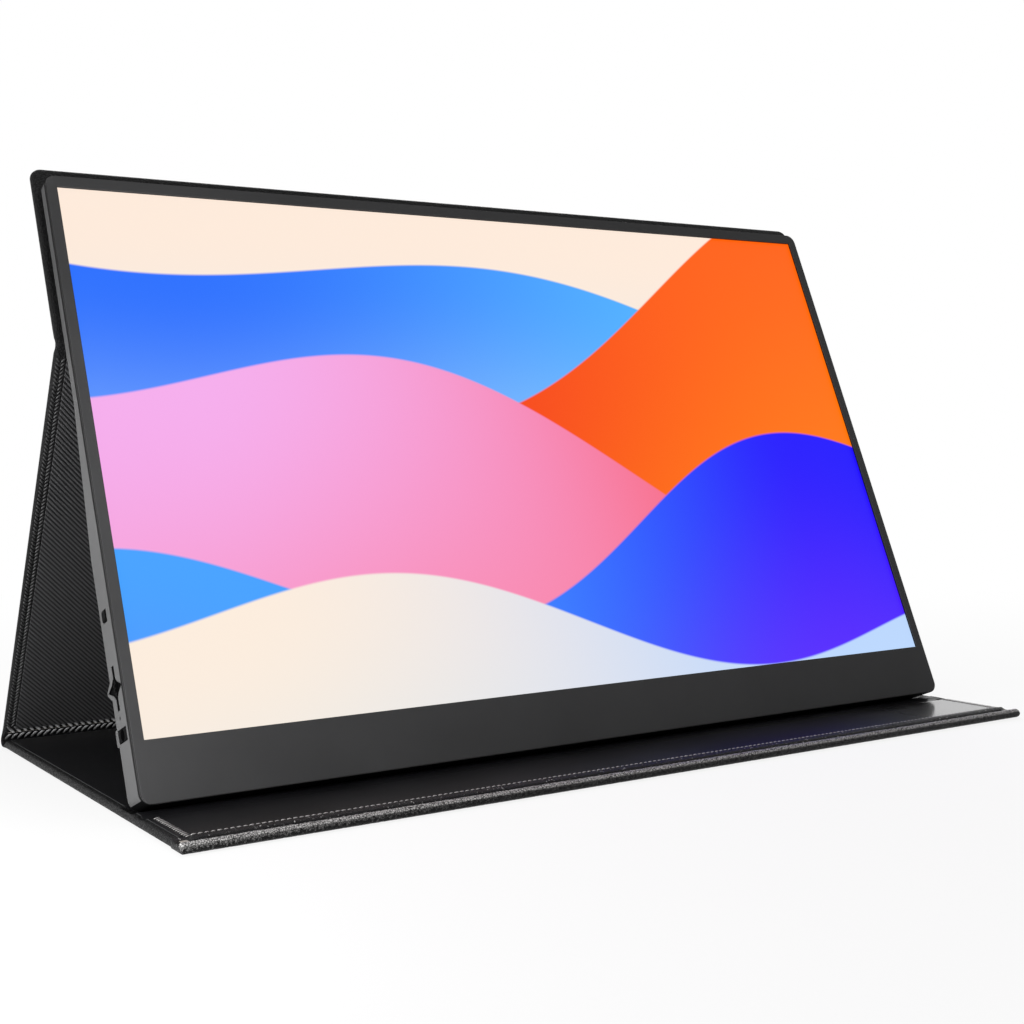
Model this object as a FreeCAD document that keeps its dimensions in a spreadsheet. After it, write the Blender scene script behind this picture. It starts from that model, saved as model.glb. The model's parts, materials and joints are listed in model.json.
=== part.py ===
"""Portable monitor standing in its folding folio cover, built piece by piece.

World frame: X to the right along the screen, the screen faces -Y, Z up, origin under the middle of the base.
Monitor pieces are drawn in the screen's own frame: x across, y depth from the front, z up the screen.
Folio panels are drawn flat: x across, y along the panel, z from the outside to the inside.
"""
import FreeCAD, Part
import math
import os
import re
import Sketcher

V = FreeCAD.Vector
Placement = FreeCAD.Placement
Rotation = FreeCAD.Rotation

# Driving dimensions, in millimetres and degrees
DIMENSIONS = (
    # Screen housing
    ("tilt", 22.0, "lean of the screen, back from vertical"),
    ("active_width", 344.2, "picture width, 15.6 inch 16:9"),
    ("active_height", 193.6, "picture height"),
    ("side_bezel", 4.0, "bezel beside the picture"),
    ("top_bezel", 4.4, "bezel above the picture"),
    ("chin", 19.9, "bezel below the picture"),
    ("corner_radius", 4.0, "outer corners of the screen housing"),
    ("bezel_depth", 1.0, "thickness of the front bezel"),
    ("bezel_bevel", 0.3, "bevel round the front of the bezel"),
    ("thin_depth", 5.6, "housing thickness at the top"),
    ("thick_depth", 12.0, "housing thickness at the foot"),
    ("wedge_low", 82.0, "height where the thick part starts to taper"),
    ("wedge_high", 135.0, "height where the taper ends"),
    ("wall", 1.4, "housing wall"),
    ("slot_width", 2.0, "speaker slot"),
    ("slot_row", 40.0, "length of a row of speaker slots"),
    ("slot_low", 5.0, "lower end of the speaker slots"),
    ("slot_high", 12.0, "upper end of the speaker slots"),
    # Controls and headphone jack on the left side
    ("port_depth", 7.5, "depth of the left side's controls and jack"),
    ("button_height", 61.8, "power button above the foot"),
    ("button_half_depth", 1.7, "half the button cap's depth"),
    ("button_half_height", 1.8, "half the button cap's height"),
    ("button_gap", 0.25, "gap round the button cap"),
    ("button_flange", 0.8, "flange that keeps the button in the housing"),
    ("jog_height", 38.3, "jog wheel above the foot"),
    ("jog_radius", 5.8, "jog wheel"),
    ("jog_inset", 5.3, "jog wheel centre inside the housing's side"),
    ("jog_half", 0.8, "half the jog wheel's thickness"),
    ("jog_gap", 0.3, "gap beside the jog wheel"),
    ("jog_slot", 7.1, "half the height of the jog wheel's slot"),
    ("jog_pin_radius", 0.75, "jog wheel pin"),
    ("grip_radius", 0.35, "grip groove in the jog wheel's rim"),
    ("scoop_front", 5.9, "front tip of the finger scoop ahead of the jog wheel"),
    ("scoop_rear", 7.2, "rear tip of the finger scoop behind the jog wheel"),
    ("scoop_half_height", 4.2, "half the height of the finger scoop"),
    ("scoop_waist", 0.4, "corner between two tips of the scoop, as a share of their reach"),
    ("scoop_sink", 0.9, "depth of the finger scoop"),
    ("carrier_half_depth", 2.2, "half the jog carrier's depth"),
    ("carrier_half_height", 6.2, "half the jog carrier's height"),
    ("carrier_nose", 1.7, "half the height of the jog carrier's nose"),
    ("light_height", 28.8, "status light above the foot"),
    ("light_radius", 0.5, "status light pipe"),
    ("jack_height", 23.4, "headphone jack above the foot"),
    ("jack_radius", 1.8, "headphone plug bore"),
    ("jack_nose_half_depth", 3.9, "half the depth of the headphone jack's nose"),
    ("jack_nose_half_height", 2.0, "half the height of the headphone jack's nose"),
    ("jack_nose_round", 0.9, "rounded corners of the headphone jack's nose"),
    ("jack_reach", 13.0, "length of the headphone plug bore"),
    ("jack_half_height", 3.0, "half the headphone jack's height"),
    ("swell_reach", 14.0, "how far in the housing swells behind the jog wheel and the jack"),
    ("swell_rim", 1.8, "swell of the housing round the finger scoop's rear tip"),
    ("swell_round", 1.0, "rounded edges of the swells"),
    ("jack_swell", 1.8, "swell of the housing behind the jack"),
    # Sockets on the right side
    ("data_upper_height", 58.0, "upper data and power socket above the foot"),
    ("data_lower_height", 45.0, "lower data and power socket above the foot"),
    ("video_height", 29.0, "video socket above the foot"),
    ("socket_depth", 7.8, "depth of the right-hand sockets"),
    ("socket_half_depth", 1.6, "half the outer thickness of a socket shell"),
    ("socket_sheet", 0.3, "sheet metal of a socket shell"),
    ("socket_inset", 0.7, "socket mouth inside the housing's side"),
    ("socket_length", 7.6, "length of a socket shell"),
    ("socket_gap", 0.2, "gap round a socket shell"),
    ("tongue_half", 0.35, "half the thickness of a contact tongue"),
    ("tongue_inset", 2.0, "tip of a contact tongue inside the housing's side"),
    # Display stack
    ("stack_half", 173.9, "half width of the display stack"),
    ("stack_low", 12.4, "lower edge of the backlight and its tray"),
    ("stack_high", 215.5, "upper edge of the display stack"),
    ("cell_low", 10.0, "lower edge of the display cell"),
    ("tape_depth", 0.15, "foam tape behind the bezel"),
    ("tape_gap", 0.4, "tape set back from the picture"),
    ("cell_depth", 1.0, "display cell"),
    ("diffuser_depth", 0.3, "diffuser sheet"),
    ("guide_depth", 0.6, "light guide"),
    ("reflector_depth", 0.15, "reflector sheet"),
    ("tray_depth", 0.4, "steel tray"),
    ("frame_rim", 1.1, "rim of the backlight frame"),
    ("sheet_inset", 1.3, "edge of the optical sheets inside the stack's edge"),
    ("light_low", 17.0, "lower edge of the optical sheets"),
    ("strip_low", 13.8, "lower edge of the light strip"),
    ("strip_high", 16.7, "upper edge of the light strip"),
    ("driver_half", 140.0, "half the length of the panel driver board"),
    # Circuit boards and what stands on them
    ("board_low", 14.0, "lower edge of the circuit boards"),
    ("board_high", 72.0, "upper edge of the circuit boards"),
    ("board_end", 172.0, "outer end of each circuit board from the middle"),
    ("main_end", 58.0, "inner end of the main board from the middle"),
    ("side_end", 146.0, "inner end of the side board from the middle"),
    ("side_front", 4.2, "front of the side board"),
    ("main_front", 5.0, "front of the main board and back of the side board"),
    ("main_back", 6.2, "back of the main board"),
    ("parts_back", 9.4, "back of the tallest parts on the boards"),
    ("chip_depth", 1.4, "scaler chip"),
    ("chip_half", 9.0, "half the scaler chip's side"),
    ("spreader_depth", 1.2, "heat spreader"),
    ("capacitor_radius", 3.0, "capacitor"),
    ("coil_half", 3.5, "half a coil's side"),
    ("screw_radius", 0.8, "board screw shank"),
    ("screw_head", 1.7, "board screw head"),
    ("screw_end", 9.6, "tip of the board screws"),
    ("boss_radius", 2.2, "screw boss in the rear cover"),
    ("speaker_half", 28.0, "half a speaker's length"),
    ("speaker_low", 2.4, "lower edge of the speakers"),
    ("speaker_high", 13.4, "upper edge of the speakers"),
    ("speaker_back", 10.2, "back of the speakers"),
    ("magnet_half", 10.0, "half a magnet's length"),
    ("magnet_width", 6.0, "magnet"),
    ("magnet_depth", 1.0, "magnet in the chin"),
    ("ribbon", 0.2, "flat cable"),
    # Folio cover
    ("cover_width", 357.4, "folio width"),
    ("cover_overhang", 6.2, "folio above the screen housing"),
    ("cover_radius", 4.0, "free corners of the folio"),
    ("skin", 0.8, "folio outer skin"),
    ("board", 1.6, "folio stiffening board"),
    ("lining", 0.8, "folio inner lining"),
    ("hem", 1.8, "skin turned round the panel edges"),
    ("adhesive", 0.3, "pad that holds the upper panel on the housing"),
    ("pad_side", 8.0, "pad set in from the housing's sides"),
    ("pad_end", 6.0, "pad set in from the fold and the housing's top"),
    ("fold_height", 156.8, "mid-back fold above the foot, along the screen"),
    ("fold_gap", 2.0, "panel ends set back from the mid-back fold"),
    ("rear_axis", 146.5, "rear fold behind the screen's front foot line"),
    ("rear_gap", 3.3, "panel ends set back from the rear fold"),
    ("web", 1.0, "leather between a fold and its panels"),
    ("groove_rear", 14.5, "rear side of the groove that holds the foot"),
    ("groove_floor", 1.2, "thickness of the folio in that groove"),
    ("foot_gap", 0.15, "running gap under the housing's foot"),
    ("lip_axis", 3.0, "lip fold ahead of the foot line"),
    ("lip_gap", 2.0, "lip panel set back from its fold"),
    ("lip_magnet", 26.0, "front of the lip magnets ahead of the foot line"),
    ("front_reach", 38.4, "front edge of the lip ahead of the foot line"),
    ("roll_depth", 2.4, "rolled edge along the front of the lip"),
    # Shared allowances
    ("overcut", 1.0, "how far a cut runs past the face that it opens"),
)

# Places across and up the screen, inside the housing
MAIN_SCREWS = (("66", "20"), ("66", "66"), ("152", "20"), ("152", "66"))
SIDE_SCREWS = (("-151", "20"), ("-151", "66"))
CHIP = ("105", "44")
CAPACITORS = (("79", "26"), ("79", "40"), ("79", "54"), ("134", "26"), ("134", "58"))
COILS = (("128", "41.5"), ("140", "41.5"))
SPEAKERS = (("speaker_left", "-112"), ("speaker_right", "112"))
SPEAKER_SLOT_STARTS = ("-134", "92")
SPEAKER_SLOTS = 11
MAGNETS = ("-120", "-40", "40", "120")
GRIP_GROOVES = 24

# Display layers from the bezel backwards, with their thickness
LAYERS = (
    ("bezel_tape", "tape_depth"),
    ("lcd_cell", "cell_depth"),
    ("diffuser_sheet", "diffuser_depth"),
    ("light_guide", "guide_depth"),
    ("reflector_sheet", "reflector_depth"),
    ("panel_tray", "tray_depth"),
)

# Height above the foot and half the shell's height of each socket
SOCKETS = {
    "data_socket_upper": ("data_upper_height", "4.5"),
    "data_socket_lower": ("data_lower_height", "4.5"),
    "video_socket": ("video_height", "5.6"),
}

# Routes of the speaker wires, in the screen's frame
SPEAKER_ROUTES = {
    "speaker_lead_left": (
        V(-84, 7.5, 8),
        V(-40, 7.5, 8),
        V(10, 7.5, 14),
        V(34, 7, 28),
        V(46, 5.6, 34),
        V(58, 5.6, 34),
    ),
    "speaker_lead_right": (
        V(84, 7.5, 8),
        V(72, 7.5, 8),
        V(60, 7, 10),
        V(49, 6, 18),
        V(48, 5.6, 27),
        V(58, 5.6, 27),
    ),
}
WIRE_RADIUS = 0.5
BEND_SHARE = 0.45
SIDE_BY_SIDE = 1e-6

doc = FreeCAD.newDocument("portable_monitor")
sheet = doc.addObject("Spreadsheet::Sheet", "Dims")
aliases = set()
nodes = []


def set_cell(alias, value, meaning):
    """Write one named number into the next row of the sheet."""
    row = len(aliases) + 1
    sheet.set(f"A{row}", meaning)
    sheet.set(f"B{row}", f"{value:.6f}")
    sheet.setAlias(f"B{row}", alias)
    aliases.add(alias)


for dimension in DIMENSIONS:
    set_cell(*dimension)
doc.recompute()


def size(alias):
    return float(sheet.get(alias))


# Sizes worked out from the driving ones
tilt = math.radians(size("tilt"))
panel_thickness = size("skin") + size("board") + size("lining")
axis_depth = size("thin_depth") + size("adhesive") + panel_thickness / 2
foot_lift = size("groove_floor") + size("foot_gap") + size("thick_depth") * math.sin(tilt)
fold_y = size("fold_height") * math.sin(tilt) + axis_depth * math.cos(tilt)
fold_z = foot_lift + size("fold_height") * math.cos(tilt) - axis_depth * math.sin(tilt)
leg_run = size("rear_axis") - fold_y
leg_rise = fold_z - panel_thickness / 2
leg_angle = math.degrees(math.atan2(leg_rise, leg_run))
rear_reach = size("rear_axis") + panel_thickness / 2
frame_shift = (rear_reach - size("front_reach")) / 2

set_cell("half_width", size("active_width") / 2 + size("side_bezel"), "half the screen housing's width")
set_cell("full_height", size("chin") + size("active_height") + size("top_bezel"), "screen housing's height")
set_cell("panel", panel_thickness, "folio panel thickness")
set_cell("leg_length", math.hypot(leg_run, leg_rise), "leg from fold to fold")
doc.recompute()

# Where the groups of pieces stand in the world
AXES = {"X": V(1, 0, 0), "Y": V(0, 1, 0), "Z": V(0, 0, 1)}
FLAT = Placement(V(0, -frame_shift, 0), Rotation())
SCREEN = Placement(V(0, -frame_shift, foot_lift), Rotation(AXES["X"], -size("tilt")))
UPPER = Placement(V(0, fold_y - frame_shift, fold_z), Rotation(AXES["X"], 90 - size("tilt")))
LEG = Placement(
    V(0, size("rear_axis") - frame_shift, panel_thickness / 2),
    Rotation(AXES["X"], 180 - leg_angle),
)


def formula(text):
    """Put the sheet's name in front of every alias in a formula."""
    return re.sub(r"[a-z_]+", lambda word: f"Dims.{word[0]}" if word[0] in aliases else word[0], text)


def number(text):
    """Value of a formula, for the first draft of a sketch."""
    return float(sheet.evalExpression(formula(text)))


def bind(thing, name, text):
    thing.setExpression(name, formula(text))


def about(middle, half):
    """Low and high sides of a span round its middle."""
    return (f"{middle} - ({half})", f"{middle} + ({half})")


def both(half):
    """Span the same to the left and the right."""
    return (f"-({half})", half)


def from_left(near, far):
    """Span measured inwards from the housing's left side."""
    return (f"-half_width + ({near})", f"-half_width + ({far})")


def from_right(far, near):
    """Span measured inwards from the housing's right side."""
    return (f"half_width - ({far})", f"half_width - ({near})")


def new_body(label, placement, several=False):
    """One sub-part. With several, it is a group of separate solids."""
    body = doc.addObject("PartDesign::Body", label)
    body.Label = label
    body.AllowCompound = several
    body.Placement = placement
    nodes.append(body)
    return body


def new_feature(body, kind, cut):
    name = ("Subtractive" if cut else "Additive") + kind
    return body.newObject(f"PartDesign::{name}", name)


def add_box(body, x, y, z, cut=False):
    """Box between pairs of formulas for its low and high sides."""
    feature = new_feature(body, "Box", cut)
    for side, length, (low, high) in zip("xyz", ("Length", "Width", "Height"), (x, y, z)):
        bind(feature, length, f"({high}) - ({low})")
        bind(feature, f"Placement.Base.{side}", low)
    return feature


def cut_box(body, x, y, z):
    return add_box(body, x, y, z, cut=True)


def add_rod(body, axis, at, span, radius, cut=False):
    """Cylinder along an axis. at holds its place on the other two axes, span its two ends."""
    feature = new_feature(body, "Cylinder", cut)
    feature.Placement = Placement(V(), Rotation(AXES["Z"], AXES[axis]))
    bind(feature, "Radius", radius)
    bind(feature, "Height", f"({span[1]}) - ({span[0]})")
    places = dict(zip([side for side in "XYZ" if side != axis], at))
    places[axis] = span[0]
    for side, text in places.items():
        bind(feature, f"Placement.Base.{side.lower()}", text)
    return feature


def cut_rod(body, axis, at, span, radius):
    return add_rod(body, axis, at, span, radius, cut=True)


def edges_along(shape, axis, wanted):
    """Names of the straight edges along an axis whose middle is wanted."""
    names = []
    for index, edge in enumerate(shape.Edges, start=1):
        if edge.Curve.TypeId != "Part::GeomLine":
            continue
        if edge.tangentAt(edge.FirstParameter).cross(AXES[axis]).Length > SIDE_BY_SIDE:
            continue
        if wanted(edge.CenterOfMass):
            names.append(f"Edge{index}")
    return names


def round_edges(body, axis, radius, wanted=lambda middle: True, kind="Fillet"):
    """Fillet, or chamfer, the chosen straight edges of the body so far."""
    doc.recompute()
    base = body.Tip
    feature = body.newObject(f"PartDesign::{kind}", kind)
    feature.Base = (base, edges_along(base.Shape, axis, wanted))
    bind(feature, "Radius" if kind == "Fillet" else "Size", radius)


def add_outline(body, points, middle, length, kind="Pad"):
    """Pad, or pocket, of a closed outline in depth and height, centred at a place across the screen."""
    sketch = body.newObject("Sketcher::SketchObject", "Outline")
    plane = next(item for item in body.Origin.OriginFeatures if item.Role == "YZ_Plane")
    sketch.AttachmentSupport = (plane, [""])
    sketch.MapMode = "FlatFace"
    bind(sketch, "AttachmentOffset.Base.z", middle)
    corners = [V(number(across), number(up), 0) for across, up in points]
    count = len(corners)
    for index in range(count):
        sketch.addGeometry(Part.LineSegment(corners[index], corners[(index + 1) % count]), False)
    for index in range(count):
        sketch.addConstraint(Sketcher.Constraint("Coincident", index, 2, (index + 1) % count, 1))
    for index, place in enumerate(points):
        for distance, text in zip(("DistanceX", "DistanceY"), place):
            rule = sketch.addConstraint(Sketcher.Constraint(distance, -1, 1, index, 1, number(text)))
            bind(sketch, f"Constraints[{rule}]", text)
    feature = body.newObject(f"PartDesign::{kind}", kind)
    feature.Profile = sketch
    feature.Midplane = True
    bind(feature, "Length", length)


def cut_outline(body, points, middle, length):
    add_outline(body, points, middle, length, "Pocket")


def repeat_along_x(body, original, length, count):
    """Row of copies of a feature along X."""
    doc.recompute()
    row = body.newObject("PartDesign::LinearPattern", "Row")
    row.Originals = [original]
    line = next(item for item in body.Origin.OriginFeatures if item.Role == "X_Axis")
    row.Direction = (line, [""])
    bind(row, "Length", length)
    row.Occurrences = count
    body.Tip = row


def block(label, x, y, z, placement=SCREEN):
    """A sub-part that is one flat sheet or block."""
    body = new_body(label, placement)
    add_box(body, x, y, z)
    return body


# Screen housing
def make_front_bezel():
    body = new_body("front_bezel", SCREEN)
    add_box(body, both("half_width"), ("0", "bezel_depth"), ("0", "full_height"))
    round_edges(body, "Y", "corner_radius")
    round_edges(body, "X", "bezel_bevel", lambda middle: middle.y < size("bezel_bevel"), "Chamfer")
    through = ("-overcut", "bezel_depth + overcut")
    cut_box(body, both("active_width/2"), through, ("chin", "chin + active_height"))


def make_rear_cover():
    """Hollow back shell: thick at the foot, tapering to the thin top, with every side opening."""
    body = new_body("rear_cover", SCREEN)
    add_box(body, both("half_width"), ("bezel_depth", "thick_depth"), ("0", "full_height"))
    round_edges(body, "Y", "corner_radius")
    taper = (
        ("thick_depth", "wedge_low"),
        ("thick_depth + overcut", "wedge_low"),
        ("thick_depth + overcut", "full_height + overcut"),
        ("thin_depth", "full_height + overcut"),
        ("thin_depth", "wedge_high"),
    )
    cut_outline(body, taper, "0", "(half_width + overcut)*2")
    add_swells(body)
    ahead = ("-bezel_depth", "bezel_depth")
    cut_box(body, both("half_width + overcut"), ahead, ("-overcut", "full_height + overcut"))
    inner = both("half_width - wall")
    cut_box(body, inner, ("0", "thin_depth - wall"), ("wall", "full_height - wall"))
    cut_box(body, inner, ("0", "thick_depth - wall"), ("wall", "wedge_low - wall*1.5"))
    for screws, front in ((MAIN_SCREWS, "main_back"), (SIDE_SCREWS, "main_front")):
        for place in screws:
            boss = (front, "thick_depth - wall")
            add_rod(body, "Y", place, boss, "boss_radius")
            cut_rod(body, "Y", place, boss, "screw_radius + 0.05")
    cut_left_openings(body)
    cut_right_openings(body)
    cut_speaker_slots(body)


def add_swells(body):
    """Swells of the housing's back that carry the finger scoop's rear tip and the jack."""
    round_scoop = (
        ("port_depth - scoop_front", "jog_height"),
        ("port_depth", "jog_height - scoop_half_height - swell_rim"),
        ("port_depth + scoop_rear + swell_rim", "jog_height"),
        ("port_depth", "jog_height + scoop_half_height + swell_rim"),
    )
    add_outline(body, round_scoop, "-half_width + swell_reach/2", "swell_reach")
    behind_jack = ("port_depth", "thick_depth + jack_swell")
    beside_jack = about("jack_height", "jack_nose_half_height + 0.8")
    add_box(body, from_left("0", "swell_reach"), behind_jack, beside_jack)
    round_edges(body, "X", "swell_round", lambda middle: middle.y > size("thick_depth") + size("overcut"))


def cut_left_openings(body):
    through = from_left("-overcut", "wall + 0.2")
    cap_depth = about("port_depth", "button_half_depth + button_gap")
    cap_height = about("button_height", "button_half_height + button_gap")
    cut_box(body, through, cap_depth, cap_height)
    cut_box(body, through, about("port_depth", "jog_half + jog_gap"), about("jog_height", "jog_slot"))
    nose_height = about("jog_height", "carrier_nose + 0.25")
    cut_box(body, through, about("port_depth", "carrier_half_depth - 0.05"), nose_height)
    scoop = (
        ("port_depth - scoop_front", "jog_height"),
        ("port_depth - scoop_front*scoop_waist", "jog_height - scoop_half_height*scoop_waist"),
        ("port_depth", "jog_height - scoop_half_height"),
        ("port_depth + scoop_rear*scoop_waist", "jog_height - scoop_half_height*scoop_waist"),
        ("port_depth + scoop_rear", "jog_height"),
        ("port_depth + scoop_rear*scoop_waist", "jog_height + scoop_half_height*scoop_waist"),
        ("port_depth", "jog_height + scoop_half_height"),
        ("port_depth - scoop_front*scoop_waist", "jog_height + scoop_half_height*scoop_waist"),
    )
    cut_outline(body, scoop, "-half_width", "scoop_sink*2")
    cut_rod(body, "X", ("port_depth", "light_height"), through, "light_radius + 0.05")
    jack_depth = about("port_depth", "jack_nose_half_depth + 0.15")
    cut_box(body, through, jack_depth, about("jack_height", "jack_nose_half_height + 0.15"))


def cut_right_openings(body):
    through = from_right("wall + 0.2", "-overcut")
    depth = about("socket_depth", "socket_half_depth + socket_gap")
    for height, half_height in SOCKETS.values():
        cut_box(body, through, depth, about(height, f"{half_height} + socket_gap"))


def cut_speaker_slots(body):
    through = ("thick_depth - wall - overcut/2", "thick_depth + overcut")
    for start in SPEAKER_SLOT_STARTS:
        slot = cut_box(body, (start, f"{start} + slot_width"), through, ("slot_low", "slot_high"))
        repeat_along_x(body, slot, "slot_row", SPEAKER_SLOTS)


# Display stack behind the bezel
def layer_spans():
    """Front and back of each layer, stacked from the bezel backwards."""
    spans = {}
    front = "bezel_depth"
    for label, depth in LAYERS:
        back = f"{front} + {depth}"
        spans[label] = (front, back)
        front = back
    return spans


def make_display_stack():
    layer = layer_spans()
    across = both("stack_half")
    tape = block("bezel_tape", across, layer["bezel_tape"], ("cell_low", "stack_high"))
    window = ("chin - tape_gap", "chin + active_height + tape_gap")
    cut_box(tape, both("active_width/2 + tape_gap"), ("0", "bezel_depth*2"), window)
    block("lcd_cell", across, layer["lcd_cell"], ("cell_low", "stack_high"))
    for label in ("diffuser_sheet", "light_guide", "reflector_sheet"):
        lit = ("light_low", "stack_high - sheet_inset")
        block(label, both("stack_half - sheet_inset"), layer[label], lit)
    behind_cell = (layer["diffuser_sheet"][0], layer["reflector_sheet"][1])
    frame = block("backlight_frame", across, behind_cell, ("stack_low", "stack_high"))
    inside = ("stack_low + frame_rim", "stack_high - frame_rim")
    cut_box(frame, both("stack_half - frame_rim"), ("bezel_depth", "side_front"), inside)
    lights = (f"{behind_cell[0]} + 0.05", f"{behind_cell[1]} - 0.1")
    block("led_strip", both("stack_half - 2"), lights, ("strip_low", "strip_high"))
    block("panel_tray", across, layer["panel_tray"], ("stack_low", "stack_high"))
    driver = (f"{behind_cell[0]} + 0.1", f"{behind_cell[1]} - 0.15")
    block("panel_driver_board", both("driver_half"), driver, ("2.2", "9.4"))


# Electronics in the thick part of the housing
def make_circuit_board(label, x, y, screws):
    body = block(label, x, y, ("board_low", "board_high"))
    for place in screws:
        cut_rod(body, "Y", place, (f"{y[0]} - overcut", f"{y[1]} + overcut"), "screw_radius + 0.3")


def make_boards():
    make_circuit_board("main_board", ("main_end", "board_end"), ("main_front", "main_back"), MAIN_SCREWS)
    make_circuit_board("side_board", ("-board_end", "-side_end"), ("side_front", "main_front"), SIDE_SCREWS)
    across, up = CHIP
    chip_back = "main_back + chip_depth"
    block("scaler_chip", about(across, "chip_half"), ("main_back", chip_back), about(up, "chip_half"))
    spreader = (chip_back, f"{chip_back} + spreader_depth")
    block("heat_spreader", about(across, "chip_half + 8"), spreader, about(up, "chip_half + 7"))
    parts = new_body("board_components", SCREEN, several=True)
    standing = ("main_back", "parts_back")
    for place in CAPACITORS:
        add_rod(parts, "Y", place, standing, "capacitor_radius")
    for across, up in COILS:
        add_box(parts, about(across, "coil_half"), standing, about(up, "coil_half"))


def make_screws():
    body = new_body("board_screws", SCREEN, several=True)
    for screws, front in ((MAIN_SCREWS, "main_front"), (SIDE_SCREWS, "side_front")):
        for place in screws:
            add_rod(body, "Y", place, (f"{front} - 0.5", front), "screw_head")
            add_rod(body, "Y", place, (front, "screw_end"), "screw_radius")


def make_sockets():
    """Plug sockets: a sheet-metal shell with rounded ends, and the contact tongue inside it."""
    shell = from_right("socket_inset + socket_length", "socket_inset")
    hollow = from_right("socket_inset + socket_length - overcut", "0")
    tongue = from_right("socket_inset + socket_length - overcut/2", "tongue_inset")
    for label, (height, half_height) in SOCKETS.items():
        depth = about("socket_depth", "socket_half_depth")
        body = block(label, shell, depth, about(height, half_height))
        round_edges(body, "X", "socket_half_depth - 0.4")
        inner_depth = about("socket_depth", "socket_half_depth - socket_sheet")
        cut_box(body, hollow, inner_depth, about(height, f"{half_height} - socket_sheet"))
        add_box(body, tongue, about("socket_depth", "tongue_half"), about(height, f"{half_height} - 1.3"))


def make_headphone_jack():
    at = ("port_depth", "jack_height")
    box_depth = ("main_front", "port_depth*2 - main_front")
    nose_depth = about("port_depth", "jack_nose_half_depth")
    nose_height = about("jack_height", "jack_nose_half_height")
    jack = block("headphone_jack", from_left("0", "wall + 0.2"), nose_depth, nose_height)
    round_edges(jack, "X", "jack_nose_round")
    add_box(jack, from_left("wall", "jack_reach + 2"), box_depth, about("jack_height", "jack_half_height"))
    cut_rod(jack, "X", at, from_left("-overcut", "jack_reach"), "jack_radius")


def make_status_light():
    pipe = new_body("status_light_pipe", SCREEN)
    add_rod(pipe, "X", ("port_depth", "light_height"), from_left("0", "6"), "light_radius")
    on_board = ("main_front", "port_depth + 0.7")
    block("status_light", from_left("6", "7.4"), on_board, about("light_height", "1"))


def make_power_button():
    cap_depth = about("port_depth", "button_half_depth")
    cap_height = about("button_height", "button_half_height")
    button = block("power_button", from_left("-0.3", "4.7"), cap_depth, cap_height)
    round_edges(button, "X", "button_half_depth - 0.9")
    flange_depth = about("port_depth", "button_half_depth + button_flange")
    flange_height = about("button_height", "button_half_height + button_flange")
    add_box(button, from_left("wall + 0.3", "wall + 1.3"), flange_depth, flange_height)
    on_board = ("main_front", "parts_back")
    switch = block("power_switch", from_left("6.1", "9.7"), on_board, about("button_height", "3"))
    add_rod(switch, "X", ("port_depth", "button_height"), from_left("5.2", "6.1"), "0.8")


def make_jog_control():
    """Wheel on a pin in a carrier. The carrier slides in when the wheel is pressed."""
    deep = about("port_depth", "carrier_half_depth")
    tall = about("jog_height", "carrier_half_height")
    carrier = block("jog_carrier", from_left("wall + 0.4", "12.3"), deep, tall)
    nose_depth = about("port_depth", "carrier_half_depth - 0.3")
    add_box(carrier, from_left("0.8", "wall + 0.4"), nose_depth, about("jog_height", "carrier_nose"))
    wheel_slot = about("port_depth", "jog_half + jog_gap")
    past_ends = about("jog_height", "carrier_half_height + overcut")
    cut_box(carrier, from_left("-overcut", "11.5"), wheel_slot, past_ends)
    at = ("-half_width + jog_inset", "jog_height")
    past_carrier = about("port_depth", "carrier_half_depth + overcut")
    cut_rod(carrier, "Y", at, past_carrier, "jog_pin_radius + 0.02")

    pin = new_body("jog_pin", SCREEN)
    add_rod(pin, "Y", at, deep, "jog_pin_radius")

    wheel = new_body("jog_wheel", SCREEN)
    rim = about("port_depth", "jog_half")
    add_rod(wheel, "Y", at, rim, "jog_radius")
    cut_rod(wheel, "Y", at, rim, "jog_pin_radius + 0.05")
    for turn in range(GRIP_GROOVES):
        angle = 360 / GRIP_GROOVES * turn
        groove = (
            f"-half_width + jog_inset + jog_radius*cos({angle} deg)",
            f"jog_height + jog_radius*sin({angle} deg)",
        )
        cut_rod(wheel, "Y", groove, rim, "grip_radius")

    on_board = ("main_front", "parts_back")
    block("jog_switch", from_left("12.9", "18.1"), on_board, about("jog_height", "3"))


def make_speakers():
    for label, middle in SPEAKERS:
        depth = ("side_front", "speaker_back")
        speaker = block(label, about(middle, "speaker_half"), depth, ("speaker_low", "speaker_high"))
        round_edges(speaker, "Y", "2")
    for label, route in SPEAKER_ROUTES.items():
        make_wire(label, route)


def make_flat_cables():
    """Ribbons with a plug at each end: driver board to main board, and side board to main board."""
    ribbon_back = "side_front - 0.2"
    display = block("display_cable", ("84", "108"), ("3.05", ribbon_back), ("3", "6"))
    add_box(display, ("85", "107"), (f"{ribbon_back} - 0.25", ribbon_back), ("5", "24"))
    add_box(display, ("84", "108"), (f"{ribbon_back} - 0.25", "main_front"), ("22", "26"))
    ribbon = ("main_back", "main_back + ribbon")
    button = block("button_cable", ("-side_end - 4", "-side_end"), ("main_front", ribbon[1]), ("49", "61"))
    add_box(button, ("-side_end - 2", "70"), ribbon, ("50", "60"))
    add_box(button, ("70", "73"), ("main_back", "main_back + 1.2"), ("49", "61"))


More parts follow.
